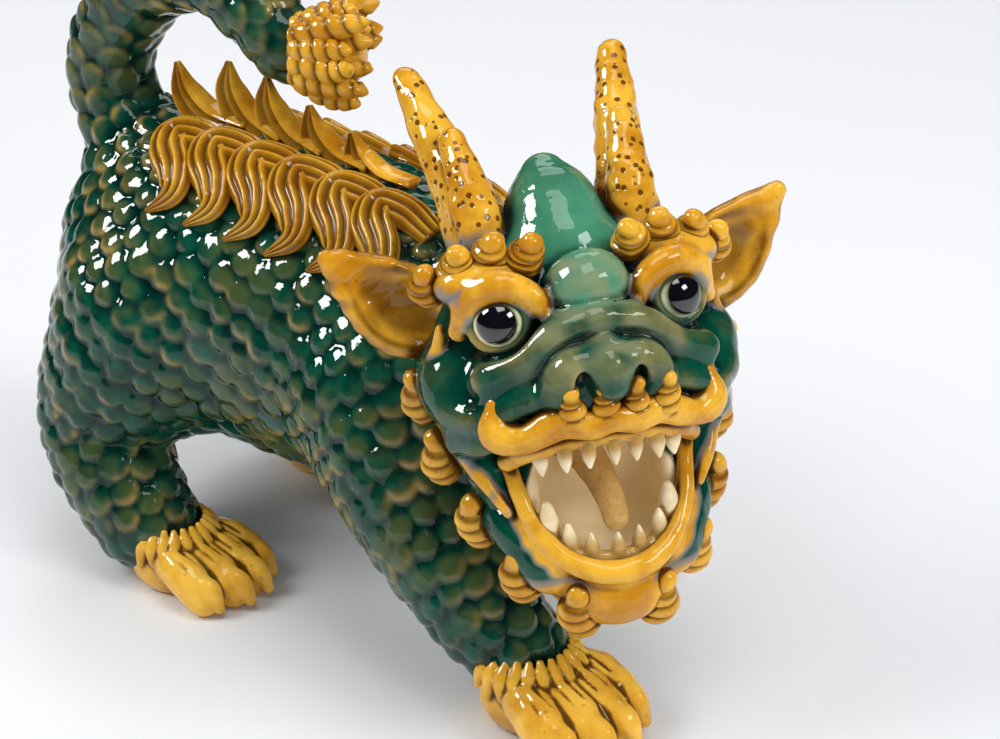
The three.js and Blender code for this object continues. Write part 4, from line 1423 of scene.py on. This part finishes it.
def mesh_of(draft):
    """The Blender mesh of a draft, in the part's frame."""
    mesh = bpy.data.meshes.new(draft.name)
    faces = [f for f in draft.faces if len(f)]
    corners = np.concatenate([f.ravel() for f in faces]).astype(np.int32)
    sizes = np.concatenate([np.full(len(f), f.shape[1]) for f in faces])
    starts = np.concatenate([[0], np.cumsum(sizes)[:-1]]).astype(np.int32)
    mesh.vertices.add(len(draft.points))
    mesh.vertices.foreach_set("co", ((draft.points - CENTRE) * MM).astype(np.float32).ravel())
    mesh.loops.add(len(corners))
    mesh.loops.foreach_set("vertex_index", corners)
    mesh.polygons.add(len(starts))
    mesh.polygons.foreach_set("loop_start", starts)
    mesh.polygons.foreach_set("use_smooth", np.ones(len(starts), bool))
    mesh.update(calc_edges=True)
    return mesh


def effect_values(draft):
    """Every effect's value at every vertex of a draft."""
    size = len(draft.points)
    values = {name: draft.effects.get(name, np.zeros(size)) for name in EFFECTS}
    values["amber"] = draft.effects.get("amber", np.full(size, float(draft.slot == "amber_glaze")))
    normals = shading_normals(draft) if draft.normals is None else draft.normals
    # How enclosed each point is: the glazes darken with it, as pooled glaze and as painted shade.
    values["closed"] = 1 - openness(draft.points, normals)
    return values


def make_piece(draft, materials):
    """The Blender object of a draft, with its effects as vertex attributes."""
    mesh = mesh_of(draft)
    for name, value in effect_values(draft).items():
        attribute = mesh.attributes.new(name, "FLOAT", "POINT")
        attribute.data.foreach_set("value", np.asarray(value, np.float32))
    if draft.normals is not None:
        mesh.normals_split_custom_set_from_vertices(draft.normals.tolist())
    mesh.materials.append(materials[draft.slot])
    piece = bpy.data.objects.new(f"{draft.name}_looks", mesh)
    bpy.context.scene.collection.objects.link(piece)
    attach(piece, "root")
    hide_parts(draft.name)


def build_pieces():
    sculpt_body()
    for word in PAWS:
        sculpt_paw(word)
    sculpt_tuft()
    sculpt_mane()
    sculpt_crest()
    sculpt_head()
    bud_proxies()
    materials = {
        "green_glaze": glaze("green_glaze"),
        "amber_glaze": glaze("amber_glaze"),
        "cream_glaze": tooth_glaze(),
        "black_glaze": eye_glaze(),
        "bisque_clay": bisque(),
    }
    for draft in drafts:
        make_piece(draft, materials)


# ---------------------------------------------------------------- stage, camera and light
CAMERA_AZIMUTH, CAMERA_ELEVATION = 35, 27
CAMERA_DISTANCE = 0.70
CAMERA_TARGET = np.array([60, 0, 60])  # layout mm
CAMERA_LENS = 105.84
CAMERA_SHIFT = (-0.06, 0.0505)
LIGHT_TARGET = Vector((0, 0, 0.06))
# Azimuth and elevation (degrees), distance and size (metres) and power (watts) of each light.
LIGHTS = {
    "key": (-40, 44, 1.5, (0.75, 0.75), 11.6),
    "glare": (-60, 42, 1.3, (0.55, 0.45), 25.0),
    "side": (95, 42, 1.6, (0.55, 0.4), 9.2),
    "fill": (70, 14, 1.4, (0.7, 0.5), 5.0),
    "top": (60, 80, 1.5, (0.7, 0.7), 7.5),
    "back": (215, 45, 1.5, (0.9, 0.6), 4.5),
}
NOT_MIRRORED = ("key", "fill")  # these light the glaze but do not show in it
ONLY_MIRRORED = ("glare",)
SKY = (0.93, 0.95, 1.0, 1)
SKY_STRENGTH = 0.32
FLOOR_HALF = 3.0
FLOOR_DROP = 0.0002  # metres that the floor is below the paws, so the two never flicker


def towards(azimuth, elevation):
    """The direction from the object to a viewer at these angles."""
    a, e = math.radians(azimuth), math.radians(elevation)
    return Vector((math.sin(a) * math.cos(e), -math.cos(a) * math.cos(e), math.sin(e)))


def aim(thing, target):
    """Turns a camera or a light towards a point."""
    thing.rotation_euler = (target - thing.location).to_track_quat("-Z", "Y").to_euler()


def camera():
    target = Vector((CAMERA_TARGET - CENTRE) * MM)
    data = bpy.data.cameras.new("camera")
    data.lens = CAMERA_LENS
    data.sensor_width = 36.0
    data.shift_x, data.shift_y = CAMERA_SHIFT
    data.clip_start = 0.01
    viewer = bpy.data.objects.new("camera", data)
    viewer.location = target + towards(CAMERA_AZIMUTH, CAMERA_ELEVATION) * CAMERA_DISTANCE
    aim(viewer, target)
    bpy.context.scene.collection.objects.link(viewer)
    bpy.context.scene.camera = viewer


def softbox(name, azimuth, elevation, distance, size, power):
    """A rectangular light that faces the statue."""
    data = bpy.data.lights.new(name, "AREA")
    data.shape = "RECTANGLE"
    data.size, data.size_y = size
    data.energy = power
    lamp = bpy.data.objects.new(name, data)
    lamp.visible_glossy = name not in NOT_MIRRORED
    lamp.visible_diffuse = name not in ONLY_MIRRORED
    lamp.location = towards(azimuth, elevation) * distance + LIGHT_TARGET
    aim(lamp, LIGHT_TARGET)
    bpy.context.scene.collection.objects.link(lamp)


def floor():
    """A pale sweep that the statue stands on."""
    mesh = bpy.data.meshes.new("floor")
    half = FLOOR_HALF
    corners = [(-half, -half, 0), (half, -half, 0), (half, half, 0), (-half, half, 0)]
    mesh.from_pydata(corners, [], [(0, 1, 2, 3)])
    ground = bpy.data.objects.new("floor", mesh)
    bpy.context.scene.collection.objects.link(ground)
    shade = Shade("paper")
    colour = shade.mix(shade.noise(3, 2), PAPER_SHADE, PAPER_LIGHT)
    mesh.materials.append(shade.surfaced({"Base Color": colour, "Roughness": 0.6}))
    ground.location.z = -FLOOR_DROP
    ground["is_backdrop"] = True


def light():
    world = bpy.data.worlds.new("world")
    world.use_nodes = True
    background = world.node_tree.nodes["Background"]
    background.inputs[0].default_value = SKY
    background.inputs[1].default_value = SKY_STRENGTH
    world.cycles_visibility.glossy = False
    bpy.context.scene.world = world
    for name, placing in LIGHTS.items():
        softbox(name, *placing)


build_pieces()
floor()
light()
camera()
bpy.context.scene.view_settings.view_transform = "Standard"
size_at_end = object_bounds()
[[list(map(float, c)) for c in box] for box in (size_at_load, size_at_end)]
